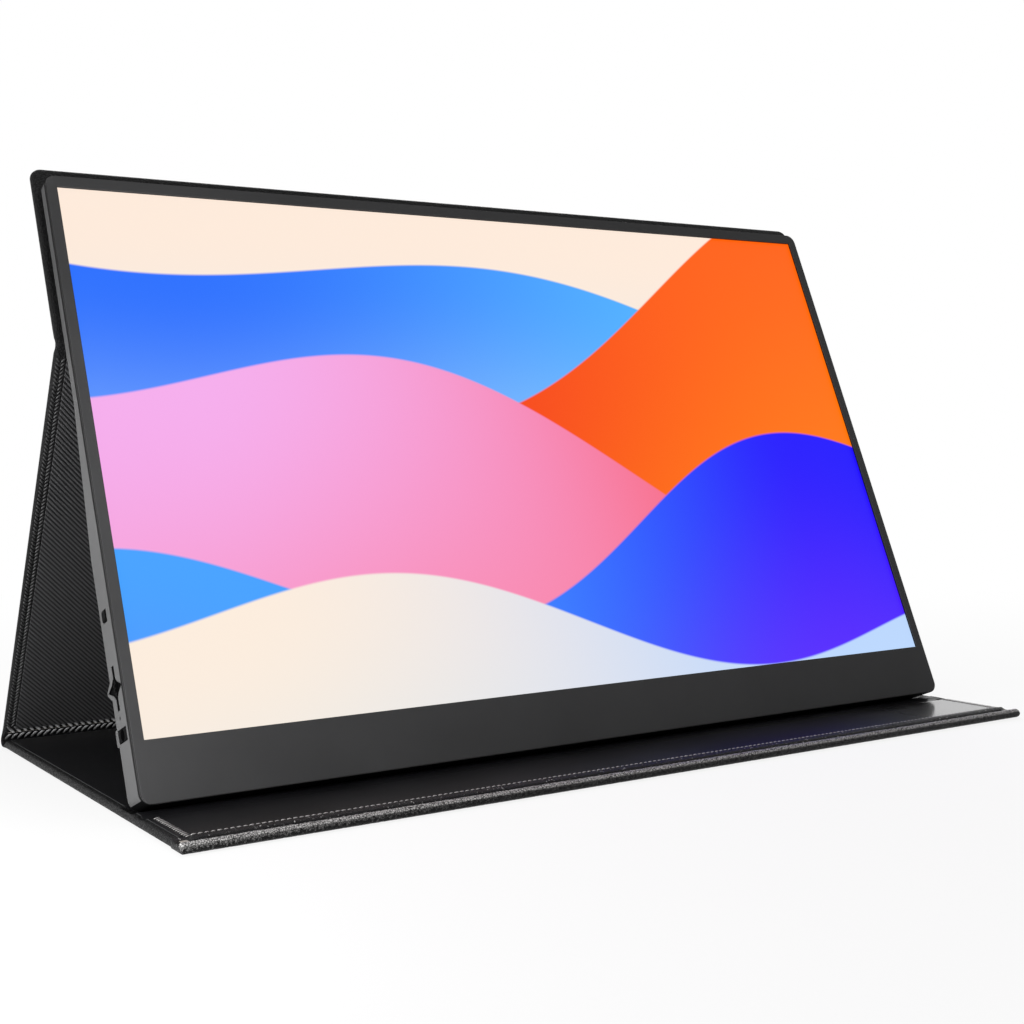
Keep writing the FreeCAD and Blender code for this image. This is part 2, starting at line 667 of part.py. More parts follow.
def make_wire(label, route):
    """Wire along straight runs that are joined by tangent arcs as large as the runs allow."""
    edges = []
    start = route[0]
    for before, corner, after in zip(route, route[1:], route[2:]):
        into = (corner - before).normalize()
        out = (after - corner).normalize()
        reach = BEND_SHARE * min((corner - before).Length, (after - corner).Length)
        first = corner - into * reach
        last = corner + out * reach
        half_turn = into.getAngle(out) / 2
        inward = (out - into).normalize()
        radius = reach / math.tan(half_turn)
        middle = corner + inward * (radius / math.cos(half_turn) - radius)
        edges.append(Part.LineSegment(start, first).toShape())
        edges.append(Part.Arc(first, middle, last).toShape())
        start = last
    edges.append(Part.LineSegment(start, route[-1]).toShape())
    path = Part.Wire(edges)
    ring = Part.Circle(route[0], (route[1] - route[0]).normalize(), WIRE_RADIUS).toShape()
    wire = doc.addObject("Part::Feature", label)
    wire.Label = label
    wire.Shape = path.makePipeShell([Part.Wire([ring])], True, False)
    wire.Placement = SCREEN
    nodes.append(wire)
    section = math.pi * WIRE_RADIUS**2 * path.Length
    print(f"{label}: volume {wire.Shape.Volume:.1f} mm3, section times length {section:.1f} mm3")


def make_magnets():
    chin = new_body("chin_magnets", SCREEN, several=True)
    lip = new_body("lip_magnets", FLAT, several=True)
    for middle in MAGNETS:
        across = about(middle, "magnet_half")
        behind_bezel = ("bezel_depth + 0.1", "bezel_depth + 0.1 + magnet_depth")
        add_box(chin, across, behind_bezel, ("2.2", "2.2 + magnet_width"))
        add_box(lip, across, ("-lip_magnet", "-lip_magnet + magnet_width"), ("skin", "skin + board"))


# Folio cover
def make_panel(name, along, outside, placement):
    """Skin turned round a stiffening board, and the lining on the inside."""
    board_front = f"{outside} + skin"
    lining_front = f"{board_front} + board"
    inside = f"{outside} + panel"
    skin = block(f"{name}_skin", both("cover_width/2"), along, (outside, inside), placement)
    if name == "upper_panel":
        round_edges(skin, "Z", "cover_radius", lambda middle: middle.y > size("fold_gap") + size("overcut"))
    across = both("cover_width/2 - hem")
    within = (f"{along[0]} + hem", f"{along[1]} - hem")
    cut_box(skin, across, within, (board_front, f"{inside} + overcut"))
    board = block(f"{name}_board", across, within, (board_front, lining_front), placement)
    block(f"{name}_lining", across, within, (lining_front, inside), placement)
    return skin, board


def make_folio():
    full = both("cover_width/2")
    upper_end = "full_height + cover_overhang - fold_height"
    make_panel("upper_panel", ("fold_gap", upper_end), "-panel/2", UPPER)
    leg_skin, _ = make_panel("leg", ("rear_gap", "leg_length - fold_gap"), "-panel/2", LEG)
    add_box(leg_skin, full, ("panel/2 + 0.35", "rear_gap"), ("-panel/2", "-panel/2 + web"))
    make_panel("rear_base", ("groove_rear", "rear_axis - rear_gap"), "0", FLAT)

    lip_front = "-front_reach + roll_depth"
    lip_rear = "-lip_axis - lip_gap"
    lip_skin, lip_board = make_panel("lip", (lip_front, lip_rear), "0", FLAT)
    add_box(lip_skin, full, (lip_rear, "-lip_axis - groove_floor/2 - 0.3"), ("0", "groove_floor"))
    for middle in MAGNETS:
        pocket = ("-lip_magnet", "-lip_magnet + magnet_width")
        cut_box(lip_board, about(middle, "magnet_half"), pocket, ("0", "panel"))

    roll = new_body("lip_edge_roll", FLAT)
    add_rod(roll, "X", ("-front_reach + panel/2", "panel/2"), full, "panel/2")
    cut_box(roll, both("cover_width/2 + overcut"), (lip_front, "0"), ("-overcut", "panel + overcut"))

    pad = ("thin_depth", "thin_depth + adhesive")
    stuck = ("fold_height + pad_end", "full_height - pad_end")
    block("cover_adhesive", both("half_width - pad_side"), pad, stuck)


def make_creases():
    """Soft hinges between the panels, each a round bead on its fold line with a web to one panel."""
    full = both("cover_width/2")
    bead = new_body("leg_crease", UPPER)
    add_rod(bead, "X", ("0", "0"), full, "panel/2 - 0.1")
    add_box(bead, full, ("0", "fold_gap"), ("-panel/2 + 0.1", "-panel/2 + 0.1 + skin"))
    bead = new_body("rear_crease", FLAT)
    add_rod(bead, "X", ("rear_axis", "panel/2"), full, "panel/2")
    add_box(bead, full, ("rear_axis - rear_gap", "rear_axis"), ("0", "web"))
    bead = new_body("lip_crease", FLAT)
    add_rod(bead, "X", ("-lip_axis", "groove_floor/2"), full, "groove_floor/2")
    add_box(bead, full, ("-lip_axis", "groove_rear"), ("0", "groove_floor"))


def check_and_export():
    """Stop on any failed or broken piece, then write one file for each sub-part."""
    doc.recompute()
    for item in doc.Objects:
        if "Invalid" in item.State or "Error" in item.State:
            raise RuntimeError(f"{item.Label} failed: {item.State}")
    for node in nodes:
        if node.Shape.isNull() or not node.Shape.isValid() or not node.Shape.Solids:
            raise RuntimeError(f"{node.Label} has no valid solid")
    os.makedirs("parts", exist_ok=True)
    for node in nodes:
        node.Shape.exportStep(f"parts/{node.Label}.step")
    print(f"{len(nodes)} sub-parts written, leg angle {leg_angle:.2f} degrees")


make_front_bezel()
make_rear_cover()
make_display_stack()
make_boards()
make_screws()
make_sockets()
make_headphone_jack()
make_status_light()
make_power_button()
make_jog_control()
make_speakers()
make_flat_cables()
make_magnets()
make_folio()
make_creases()
check_and_export()
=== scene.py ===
"""Looks of a portable monitor that stands in its folding folio cover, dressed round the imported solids.

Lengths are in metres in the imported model's frame: X runs along the screen, the screen faces -Y, Z is up.
"""

import functools
import json
import math

import bmesh
import bpy
from bpy.props import FloatProperty, FloatVectorProperty, IntProperty, PointerProperty
from mathutils import Matrix, Vector, noise

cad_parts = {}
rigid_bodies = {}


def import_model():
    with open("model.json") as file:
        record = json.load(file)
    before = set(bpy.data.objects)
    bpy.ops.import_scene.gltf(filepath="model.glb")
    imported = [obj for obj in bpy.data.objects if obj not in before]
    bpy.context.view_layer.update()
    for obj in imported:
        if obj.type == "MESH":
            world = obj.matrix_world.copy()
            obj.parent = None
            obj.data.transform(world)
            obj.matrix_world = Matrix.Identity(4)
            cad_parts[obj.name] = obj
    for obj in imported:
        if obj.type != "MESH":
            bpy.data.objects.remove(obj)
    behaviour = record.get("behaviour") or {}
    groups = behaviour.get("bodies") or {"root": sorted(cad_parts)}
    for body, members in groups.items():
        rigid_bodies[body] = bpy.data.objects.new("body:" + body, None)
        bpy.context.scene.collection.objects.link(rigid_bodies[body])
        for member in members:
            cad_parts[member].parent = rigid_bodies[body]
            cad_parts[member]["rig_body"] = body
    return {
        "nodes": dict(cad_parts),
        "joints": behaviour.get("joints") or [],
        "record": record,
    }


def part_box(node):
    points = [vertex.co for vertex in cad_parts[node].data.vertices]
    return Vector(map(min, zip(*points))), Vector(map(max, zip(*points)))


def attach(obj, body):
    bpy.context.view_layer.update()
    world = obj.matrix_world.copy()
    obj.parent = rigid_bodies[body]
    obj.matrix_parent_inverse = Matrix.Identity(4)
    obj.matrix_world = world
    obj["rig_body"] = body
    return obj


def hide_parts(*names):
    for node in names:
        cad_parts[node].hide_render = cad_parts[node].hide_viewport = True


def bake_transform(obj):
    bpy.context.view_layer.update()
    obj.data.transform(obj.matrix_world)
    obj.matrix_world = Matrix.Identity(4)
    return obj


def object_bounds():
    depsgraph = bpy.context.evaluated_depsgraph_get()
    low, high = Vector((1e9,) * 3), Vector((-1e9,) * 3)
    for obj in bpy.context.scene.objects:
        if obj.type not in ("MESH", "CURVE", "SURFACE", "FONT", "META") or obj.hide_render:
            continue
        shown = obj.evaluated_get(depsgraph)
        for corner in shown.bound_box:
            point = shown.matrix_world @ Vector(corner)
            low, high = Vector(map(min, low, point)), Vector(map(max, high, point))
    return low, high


bl_info = {
    "name": "Portable monitor in a folio",
    "version": (1, 0, 0),
    "blender": (4, 5, 0),
    "location": "View3D > Sidebar > Monitor",
    "description": "Dresses a portable monitor, its folio cover and its controls",
    "category": "Object",
}

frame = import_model()
CAD_LOW, CAD_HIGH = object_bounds()
NODES = frame["nodes"]
SLOT_OF = {part["node"]: part["material_slot"] for part in frame["record"]["subparts"]}
JOINTS = {joint["name"]: joint for joint in frame["joints"]}

MM = 0.001
ACROSS = Vector((1, 0, 0))
SCREEN_BACK = Vector(JOINTS["jog_roll"]["axis"]).normalized()
SCREEN_UP = ACROSS.cross(SCREEN_BACK)
BACK_FOLD = Vector(JOINTS["leg_fold"]["pos_m"])
REAR_FOLD = Vector(JOINTS["rear_fold"]["pos_m"])
LIP_FOLD = Vector(JOINTS["lip_fold"]["pos_m"])
LEG_UP = (BACK_FOLD - REAR_FOLD).normalized()
LEG_IN = ACROSS.cross(LEG_UP)
UP = Vector((0, 0, 1))


def reach_along(node, origin, direction):
    """Furthest that a CAD node goes from a point along a direction."""
    return max((vertex.co - origin).dot(direction) for vertex in NODES[node].data.vertices)


def length(name, description, default):
    return FloatProperty(name=name, description=description, default=default, unit="LENGTH", precision=5)


def angle(name, description, degrees):
    return FloatProperty(name=name, description=description, default=math.radians(degrees), subtype="ANGLE")


def colour(name, description, default):
    return FloatVectorProperty(
        name=name, description=description, default=default, subtype="COLOR", size=3, min=0, max=1
    )


# Sizes and colours that a user would change
class FolioLook(bpy.types.PropertyGroup):
    """Folio cover."""

    half_width: length("Half width", "Half the folio's width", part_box("leg_skin")[1].x)
    thickness: length("Thickness", "Panel with its board and lining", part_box("rear_base_skin")[1].z)
    upper_length: length(
        "Back length", "Back panel above its fold", reach_along("upper_panel_skin", BACK_FOLD, SCREEN_UP)
    )
    corner: length("Corner", "Radius of the back panel's free corners", 4 * MM)
    edge: length("Edge", "Rounding of the panels' side edges", 1.3 * MM)
    lining: length("Lining", "Lining that stands on the panels", 0.3 * MM)
    leather: length("Leather", "Leather on its own at the folds", 1.0 * MM)
    groove_front: length("Groove front", "Front side of the foot's groove", LIP_FOLD.y + 7.4 * MM)
    groove_rear: length("Groove rear", "Rear side of the foot's groove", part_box("rear_base_skin")[0].y)
    groove_floor: length("Groove floor", "Leather under the foot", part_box("lip_crease")[1].z)
    side_hem: length("Leg hem", "Woven hem beside the leg's lining", 4.2 * MM)
    base_hem: length("Base hem", "Leather edge beside the base's lining", 2.2 * MM)
    front_band: length("Front band", "Pebbled band along the lip's front", 8.6 * MM)
    pebble: length("Pebble", "Height of the front band's pebbles", 0.16 * MM)
    pebble_cell: length("Pebble cell", "Size of the front band's pebbles", 1.0 * MM)
    leather_colour: colour("Leather", "Pebbled outer leather", (0.005, 0.005, 0.0053))
    # Painted highlight colour: the glints on the pebbles along the lip's front
    painted_glint_colour: colour("Painted glints", "Painted glints on the pebbles along the lip's front", (0.6, 0.59, 0.58))
    lining_colour: colour("Base lining", "Smooth lining of base and lip", (0.003, 0.003, 0.0035))
    weave_dark: colour("Dark thread", "Dark thread of the leg's weave", (0.004, 0.004, 0.0045))
    weave_light: colour("Light thread", "Light thread of the leg's weave", (0.055, 0.055, 0.057))


class StitchLook(bpy.types.PropertyGroup):
    """Braid and stitches."""

    braid_pitch: length("Braid pitch", "Distance between the braid's strands", 2.5 * MM)
    braid_width: length("Braid width", "Braid along the rear fold", 7.2 * MM)
    rope_pitch: length("Rope pitch", "Stitches along the lip's front", 2.0 * MM)
    side_pitch: length("Side pitch", "Stitches along the lip's sides", 1.45 * MM)
    unevenness: FloatProperty(
        name="Unevenness",
        description="How much stitches differ",
        default=0.1,
        subtype="FACTOR",
        min=0,
        max=1,
    )
    seed: IntProperty(name="Seed", description="Draw of the uneven stitches", default=7)
    # Painted light: the braid is a pale, lit copy of the hems' dark thread
    painted_lit_braid_colour: colour("Braid", "Strands along the rear fold", (0.5, 0.5, 0.505))
    hem_colour: colour("Hem", "Strands beside the leg's lining", (0.02, 0.02, 0.0205))
    thread_colour: colour("Thread", "Stitches on the lip", (0.3, 0.29, 0.285))


class HousingLook(bpy.types.PropertyGroup):
    """Screen housing and its controls."""

    bevel: length("Edge", "Softened edges of the housing", 0.22 * MM)
    control_bevel: length("Control edge", "Softened edges of the controls", 0.12 * MM)
    bezel_colour: colour("Bezel", "Matte front bezel", (0.055, 0.055, 0.056))
    shell_colour: colour("Shell", "Matte rear cover", (0.07, 0.07, 0.071))
    control_colour: colour("Controls", "Button, wheel and jack", (0.003, 0.003, 0.0032))


class StageLook(bpy.types.PropertyGroup):
    """Floor, light and camera."""

    floor_colour: colour("Floor", "Plain pale floor", (0.9, 0.9, 0.9))
    lens: FloatProperty(name="Lens", description="Focal length in millimetres", default=51.914)
    shift: FloatVectorProperty(name="Shift", description="Lens shift", default=(0.0888, -0.0092), size=2)
    viewpoint: FloatVectorProperty(
        name="Viewpoint", description="Camera place", default=(-0.32878, -0.47563, 0.11123), subtype="XYZ"
    )
    heading: angle("Heading", "Camera turn from straight ahead", 30.925)
    dip: angle("Dip", "Camera tilt below the horizon", 2.037)
    roll: angle("Roll", "Camera roll", -0.975)


# Node building
class Graph:
    """Adds nodes to a tree. Capital names are sockets, with _ for a space, and the others are settings."""

    def __init__(self, tree):
        self.tree = tree

    def give(self, node, key, value):
        """Link or set one input of a node."""
        if isinstance(value, bpy.types.NodeSocket):
            self.tree.links.new(value, node.inputs[key])
        else:
            node.inputs[key].default_value = value

    def add(self, kind, numbered=None, **named):
        node = self.tree.nodes.new(kind)
        inputs = dict(numbered or {})
        for key, value in named.items():
            if key.islower():
                setattr(node, key, value)
            else:
                inputs[key.replace("_", " ")] = value
        for key, value in inputs.items():
            self.give(node, key, value)
        return node

    def out(self, kind, numbered=None, **named):
        """First output of a new node."""
        return self.add(kind, numbered, **named).outputs[0]

    def group(self, build, **named):
        return self.add("ShaderNodeGroup", node_tree=build(), **named).outputs

    def maths(self, operation, *values):
        return self.out("ShaderNodeMath", dict(enumerate(values)), operation=operation)

    def vector(self, operation, *values):
        node = self.add("ShaderNodeVectorMath", dict(enumerate(values)), operation=operation)
        return node.outputs["Value" if operation in ("DOT_PRODUCT", "LENGTH") else "Vector"]

    def scaled(self, vector, factor):
        return self.out("ShaderNodeVectorMath", {0: vector}, operation="SCALE", Scale=factor)

    def ranged(self, value, low, high, to_low=0.0, to_high=1.0, kind="LINEAR"):
        ends = {"From_Min": low, "From_Max": high, "To_Min": to_low, "To_Max": to_high}
        return self.out("ShaderNodeMapRange", interpolation_type=kind, Value=value, **ends)

    def eased(self, *numbers):
        return self.ranged(*numbers, kind="SMOOTHSTEP")

    def mixed(self, factor, first, second):
        """Blend of two colours."""
        return self.add("ShaderNodeMix", {0: factor, 6: first, 7: second}, data_type="RGBA").outputs[2]


def rgba(values):
    return (*values, 1.0)


def toned(base, factor, added=0.0):
    """Darker or lighter kind of a colour."""
    return rgba([min(1.0, value * factor + added) for value in base])


class Finish(Graph):
    """Graph of a new material with a Principled shader, in Object coordinates."""

    def __init__(self, name):
        self.material = bpy.data.materials.new(name)
        self.material.use_nodes = True
        self.material.node_tree.nodes.clear()
        super().__init__(self.material.node_tree)
        self.shader = self.add("ShaderNodeBsdfPrincipled")
        self.output = self.add("ShaderNodeOutputMaterial", Surface=self.shader.outputs["BSDF"])
        self.place = self.add("ShaderNodeTexCoord").outputs["Object"]

    def axes(self):
        return self.add("ShaderNodeSeparateXYZ", {0: self.place}).outputs

    def along(self, direction):
        """How far the place is along a direction."""
        return self.vector("DOT_PRODUCT", self.place, tuple(direction))

    def grain(self, size, place=None):
        """Fine grain in Object coordinates or in the place given."""
        return self.group(grain_group, Place=self.place if place is None else place, Grain=size)

    def bump(self, height, strength, distance):
        self.shade(Normal=self.out("ShaderNodeBump", Height=height, Strength=strength, Distance=distance))

    def shade(self, **sockets):
        """Inputs of the shader, with _ for the spaces in their names."""
        for key, value in sockets.items():
            self.give(self.shader, key.replace("_", " "), value)


def shader_group(name, inputs, outputs):
    """Empty shader node group with named sockets, and its graph and end nodes."""
    tree = bpy.data.node_groups.new(name, "ShaderNodeTree")
    for label, kind in inputs:
        tree.interface.new_socket(label, in_out="INPUT", socket_type=kind)
    for label, kind in outputs:
        tree.interface.new_socket(label, in_out="OUTPUT", socket_type=kind)
    graph = Graph(tree)
    return tree, graph, graph.add("NodeGroupInput").outputs, graph.add("NodeGroupOutput")


FLOAT = "NodeSocketFloat"
VECTOR = "NodeSocketVector"
COLOUR = "NodeSocketColor"


@functools.cache
def pebble_group():
    """Leather pebbles: rounded cells with creases between them."""
    tree, graph, given, result = shader_group(
        "Pebbled grain", (("Place", VECTOR), ("Cell", FLOAT)), (("Height", FLOAT), ("Crease", FLOAT))
    )
    cells = graph.scaled(given["Place"], graph.maths("DIVIDE", 1.0, given["Cell"]))
    wander = graph.add("ShaderNodeTexNoise", Vector=cells, Scale=0.7, Detail=2.0).outputs["Color"]
    bent = graph.vector("ADD", cells, graph.scaled(wander, 0.9))
    edge = graph.add("ShaderNodeTexVoronoi", Vector=bent, Scale=1.0, feature="DISTANCE_TO_EDGE")
    dome = graph.add("ShaderNodeTexVoronoi", Vector=bent, Scale=1.0, feature="F1")
    crease = graph.eased(edge.outputs["Distance"], 0.0, 0.16)
    crown = graph.ranged(dome.outputs["Distance"], 0.0, 0.9, 1.0, 0.5)
    graph.give(result, "Height", graph.maths("MULTIPLY", crease, crown))
    graph.give(result, "Crease", crease)
    return tree


@functools.cache
def grain_group():
    """Fine moulded grain, and slow patches that vary tone and gloss."""
    tree, graph, given, result = shader_group(
        "Fine grain", (("Place", VECTOR), ("Grain", FLOAT)), (("Height", FLOAT), ("Patch", FLOAT))
    )
    fine = graph.scaled(given["Place"], graph.maths("DIVIDE", 1.0, given["Grain"]))
    speck = graph.add("ShaderNodeTexNoise", Vector=fine, Scale=1.0, Detail=3.0, Roughness=0.6)
    slow = graph.add("ShaderNodeTexNoise", Vector=given["Place"], Scale=22.0, Detail=4.0)
    graph.give(result, "Height", speck.outputs["Fac"])
    graph.give(result, "Patch", graph.ranged(slow.outputs["Fac"], 0.3, 0.7))
    return tree


@functools.cache
def weave_group():
    """Two over two twill, with rounded threads."""
    tree, graph, given, result = shader_group(
        "Twill weave", (("Place", VECTOR), ("Thread", FLOAT)), (("Height", FLOAT), ("Over", FLOAT))
    )
    threads = graph.scaled(given["Place"], graph.maths("DIVIDE", 1.0, given["Thread"]))
    axes = graph.add("ShaderNodeSeparateXYZ", {0: threads}).outputs
    counts = [graph.maths("FLOOR", axes[side]) for side in "XY"]
    round_tops = []
    for side in "XY":
        centred = graph.maths("MULTIPLY_ADD", graph.maths("FRACT", axes[side]), 2.0, -1.0)
        round_tops.append(graph.maths("SUBTRACT", 1.0, graph.maths("MULTIPLY", centred, centred)))
    diagonal = graph.maths("FLOORED_MODULO", graph.maths("SUBTRACT", *counts), 4.0)
    over = graph.maths("LESS_THAN", diagonal, 1.5)
    warp = graph.maths("MULTIPLY", over, round_tops[0])
    weft = graph.maths("MULTIPLY", graph.maths("SUBTRACT", 1.0, over), round_tops[1])
    graph.give(result, "Height", graph.maths("ADD", warp, weft))
    graph.give(result, "Over", over)
    return tree


@functools.cache
def wave_group():
    """One rolling band of the screen picture, laid over what is behind it."""
    inputs = [("Behind", COLOUR)]
    inputs += [(label, FLOAT) for label in ("Across", "Up", *WAVE_NUMBERS)]
    inputs += [(label, COLOUR) for label in WAVE_COLOURS]
    tree, graph, given, result = shader_group("Picture wave", inputs, (("Color", COLOUR),))
    turn = graph.maths("MULTIPLY_ADD", given["Across"], given["Bends"], given["Start"])
    swing = graph.maths("MULTIPLY", graph.maths("SINE", turn), given["Swing"])
    slope = graph.maths("MULTIPLY_ADD", given["Across"], given["Slope"], given["Level"])
    below = graph.maths("SUBTRACT", graph.maths("ADD", slope, swing), given["Up"])
    inside = graph.eased(below, -0.002, 0.004)
    along = graph.eased(given["Across"], -0.8, 0.8)
    crest = graph.mixed(along, given["Left"], given["Right"])
    body = graph.mixed(graph.eased(below, 0.0, 0.85), crest, given["Depth"])
    graph.give(result, "Color", graph.mixed(inside, given["Behind"], body))
    return tree


def glint_share(finish, cell):
    """Share of painted highlight on the lip's front: glints on the roll's pebbles, a painted highlight
    along its crest, and fainter glints on its face, more to the left where the light falls.
    """
    spots = finish.out("ShaderNodeTexNoise", Vector=finish.place, Scale=0.7 / cell, Detail=3.0)
    axes = finish.axes()
    roll_rear = CAD_LOW.y + 2.3 * MM
    roll = finish.eased(axes["Y"], roll_rear, roll_rear + 0.7 * MM, 1.0, 0.0)
    crest = finish.eased(axes["Z"], 0.6 * MM, 2.7 * MM, 0.04, 0.36)
    # Painted glints: noise spots, more of them on the roll and the higher up it they are
    glint_spots = finish.maths("MULTIPLY_ADD", roll, crest, spots)
    # Painted highlight along the roll's top, and on its face more to the left, where the light falls
    top = finish.eased(axes["Z"], 2.1 * MM, 2.75 * MM)
    face = finish.eased(axes["X"], -0.18, -0.06, 0.34, 0.08)
    painted_bright = finish.maths("MAXIMUM", top, face)
    return finish.maths("MULTIPLY", finish.eased(glint_spots, 0.6, 0.74), painted_bright)


def leather_finish(name, base, cell, depth, gloss, painted_glint=None):
    """Pebbled leather with worn, shinier pebble tops and painted shade in the creases between them. A
    colour given for the lip's front paints highlights on its pebble tops as glints.
    """
    finish = Finish(name)
    pebble = finish.group(pebble_group, Place=finish.place, Cell=cell)
    grain = finish.grain(cell * 0.3)
    worn = finish.mixed(grain["Patch"], rgba(base), toned(base, 1.7, 0.002))
    # Painted shade: the creases between the pebbles are darker
    shown = finish.mixed(pebble["Crease"], toned(base, 0.45), worn)
    if painted_glint:
        # Painted highlights: glints in the given colour on the pebble tops of the lip's front
        glinting = finish.maths("MULTIPLY", glint_share(finish, cell), pebble["Height"])
        shown = finish.mixed(glinting, shown, rgba(painted_glint))
    finish.bump(finish.maths("MULTIPLY_ADD", grain["Height"], 0.15, pebble["Height"]), 0.9, depth)
    roughness = finish.ranged(pebble["Height"], 0.0, 1.0, gloss + 0.2, gloss)
    finish.shade(Base_Color=shown, Roughness=roughness, Specular_IOR_Level=0.1)
    return finish.material


def moulded_finish(name, base, grain_size, gloss, metallic=0.0, strength=0.25, sheen=0.5, seam=None):
    """Moulded or stamped surface with fine grain and slow patches. A seam is painted dark between two
    depths, as the shade in the parting line.
    """
    finish = Finish(name)
    grain = finish.grain(grain_size)
    shown = finish.mixed(grain["Patch"], toned(base, 0.9), toned(base, 1.1))
    if seam:
        # Painted shade of the parting line, between the two depths
        first, last = seam
        fade = 0.1 * MM
        depth = finish.along(SCREEN_BACK)
        begun = finish.eased(depth, first, first + fade)
        lasting = finish.eased(depth, last - fade, last, 1.0, 0.0)
        shown = finish.mixed(finish.maths("MULTIPLY", begun, lasting), shown, toned(base, 0.1))
    finish.bump(grain["Height"], strength, grain_size * 0.3)
    roughness = finish.ranged(grain["Patch"], 0.0, 1.0, gloss - 0.05, gloss + 0.06)
    finish.shade(Base_Color=shown, Roughness=roughness, Metallic=metallic, Specular_IOR_Level=sheen)
    return finish.material


def brushed_finish(name, base, gloss):
    """Metal with fine lines along X."""
    finish = Finish(name)
    lines = finish.vector("MULTIPLY", finish.place, (0.04, 1.0, 1.0))
    grain = finish.grain(0.3 * MM, lines)
    finish.bump(grain["Height"], 0.15, 0.05 * MM)
    finish.shade(
        Base_Color=finish.mixed(grain["Height"], toned(base, 0.8), rgba(base)),
        Roughness=finish.ranged(grain["Height"], 0.2, 0.8, gloss - 0.08, gloss + 0.1),
        Metallic=1.0,
    )
    return finish.material


def circuit_finish(name, base, trace):
    """Solder mask over copper traces."""
    finish = Finish(name)
    colours = {"Color1": rgba(base), "Color2": toned(base, 0.8), "Mortar": rgba(trace)}
    bricks = finish.add("ShaderNodeTexBrick", Vector=finish.place, Scale=160.0, Mortar_Size=0.06, **colours)
    grain = finish.grain(0.4 * MM)
    finish.bump(bricks.outputs["Fac"], 0.4, 0.04 * MM)
    roughness = finish.ranged(grain["Patch"], 0.0, 1.0, 0.28, 0.4)
    finish.shade(Base_Color=bricks.outputs["Color"], Roughness=roughness)
    return finish.material


def lining_finish(name, base):
    """Smooth faintly grained leather, matte on the base and polished on the lip, most at its right end."""
    finish = Finish(name)
    grain = finish.grain(0.6 * MM)
    axes = finish.axes()
    on_lip = finish.eased(axes["Y"], LIP_FOLD.y + 4 * MM, LIP_FOLD.y, 0.05, 1.0)
    polish = finish.eased(axes["X"], 0.10, 0.15, 0.1, 1.0)
    finish.bump(grain["Height"], 0.12, 0.03 * MM)
    finish.shade(
        Base_Color=finish.mixed(grain["Patch"], rgba(base), toned(base, 1.8)),
        Roughness=finish.ranged(grain["Patch"], 0.0, 1.0, 0.34, 0.42),
        Specular_IOR_Level=0.15,
        Coat_Weight=finish.maths("MULTIPLY", on_lip, polish),
        Coat_Roughness=0.14,
        Coat_IOR=1.9,
    )
    return finish.material


def twill_finish(name, dark, light, thread):
    """Woven lining. It reads the piece's own map, which is laid out in metres."""
    finish = Finish(name)
    place = finish.add("ShaderNodeUVMap", uv_map=SURFACE_MAP).outputs["UV"]
    weave = finish.group(weave_group, Place=place, Thread=thread)
    grain = finish.grain(thread * 0.4, place)
    threads = finish.mixed(weave["Over"], rgba(dark), rgba(light))
    inputs = {0: 1.0, 6: threads, 7: finish.ranged(weave["Height"], 0.0, 0.8, 0.25, 1.0)}
    shaded = finish.add("ShaderNodeMix", inputs, data_type="RGBA", blend_type="MULTIPLY").outputs[2]
    gloss = finish.ranged(weave["Over"], 0.0, 1.0, 0.5, 0.34)
    roughness = finish.maths("MULTIPLY_ADD", grain["Patch"], 0.06, gloss)
    finish.bump(finish.maths("MULTIPLY_ADD", grain["Height"], 0.2, weave["Height"]), 0.8, thread * 0.35)
    finish.shade(Base_Color=shaded, Roughness=roughness, Specular_IOR_Level=0.25)
    return finish.material


def thread_finish(name, base, centre=None):
    """Twisted thread: fine fibres with a satin shine. Away from a centre on the leg it is painted darker as
    shade, so that only a strip along the centre looks lit.
    """
    finish = Finish(name)
    grain = finish.grain(0.22 * MM)
    shown = finish.mixed(grain["Height"], toned(base, 0.55), toned(base, 1.3))
    if centre:
        # Painted shade away from the centre, leaving a lit strip along it
        rise = finish.maths("SUBTRACT", finish.along(LEG_UP), centre.dot(LEG_UP))
        outer = finish.eased(finish.maths("ABSOLUTE", rise), 0.2 * MM, 2.3 * MM)
        shown = finish.mixed(outer, shown, toned(base, 0.1))
    finish.bump(grain["Height"], 0.5, 0.08 * MM)
    finish.shade(Base_Color=shown, Roughness=finish.ranged(grain["Patch"], 0.0, 1.0, 0.36, 0.5))
    return finish.material


def picture_finish(name):
    """Lit screen with a plain picture of rolling coloured waves, under a satin front."""
    finish = Finish(name)
    low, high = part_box("lcd_cell")
    cell = [vertex.co.dot(SCREEN_UP) for vertex in NODES["lcd_cell"].data.vertices]
    across = finish.maths("DIVIDE", finish.axes()["X"], (high.x - low.x) / 2)
    height = finish.ranged(finish.along(SCREEN_UP), min(cell), max(cell))
    shown = finish.mixed(finish.eased(height, 0.1, 0.95), SKY_LOW, SKY_HIGH)
    for *numbers, left, right, depth in PICTURE_WAVES:
        wave = dict(zip(WAVE_NUMBERS, numbers))
        wave |= zip(WAVE_COLOURS, map(rgba, (left, right, depth)))
        shown = finish.group(wave_group, Behind=shown, Across=across, Up=height, **wave)["Color"]
    grain = finish.grain(0.2 * MM)
    finish.shade(
        Base_Color=(0.004, 0.004, 0.005, 1.0),
        Emission_Color=shown,
        Emission_Strength=1.0,
        Roughness=finish.ranged(grain["Patch"], 0.0, 1.0, 0.4, 0.46),
        Specular_IOR_Level=0.08,
    )
    return finish.material


SURFACE_MAP = "Surface"
TWILL_THREAD = 0.45 * MM

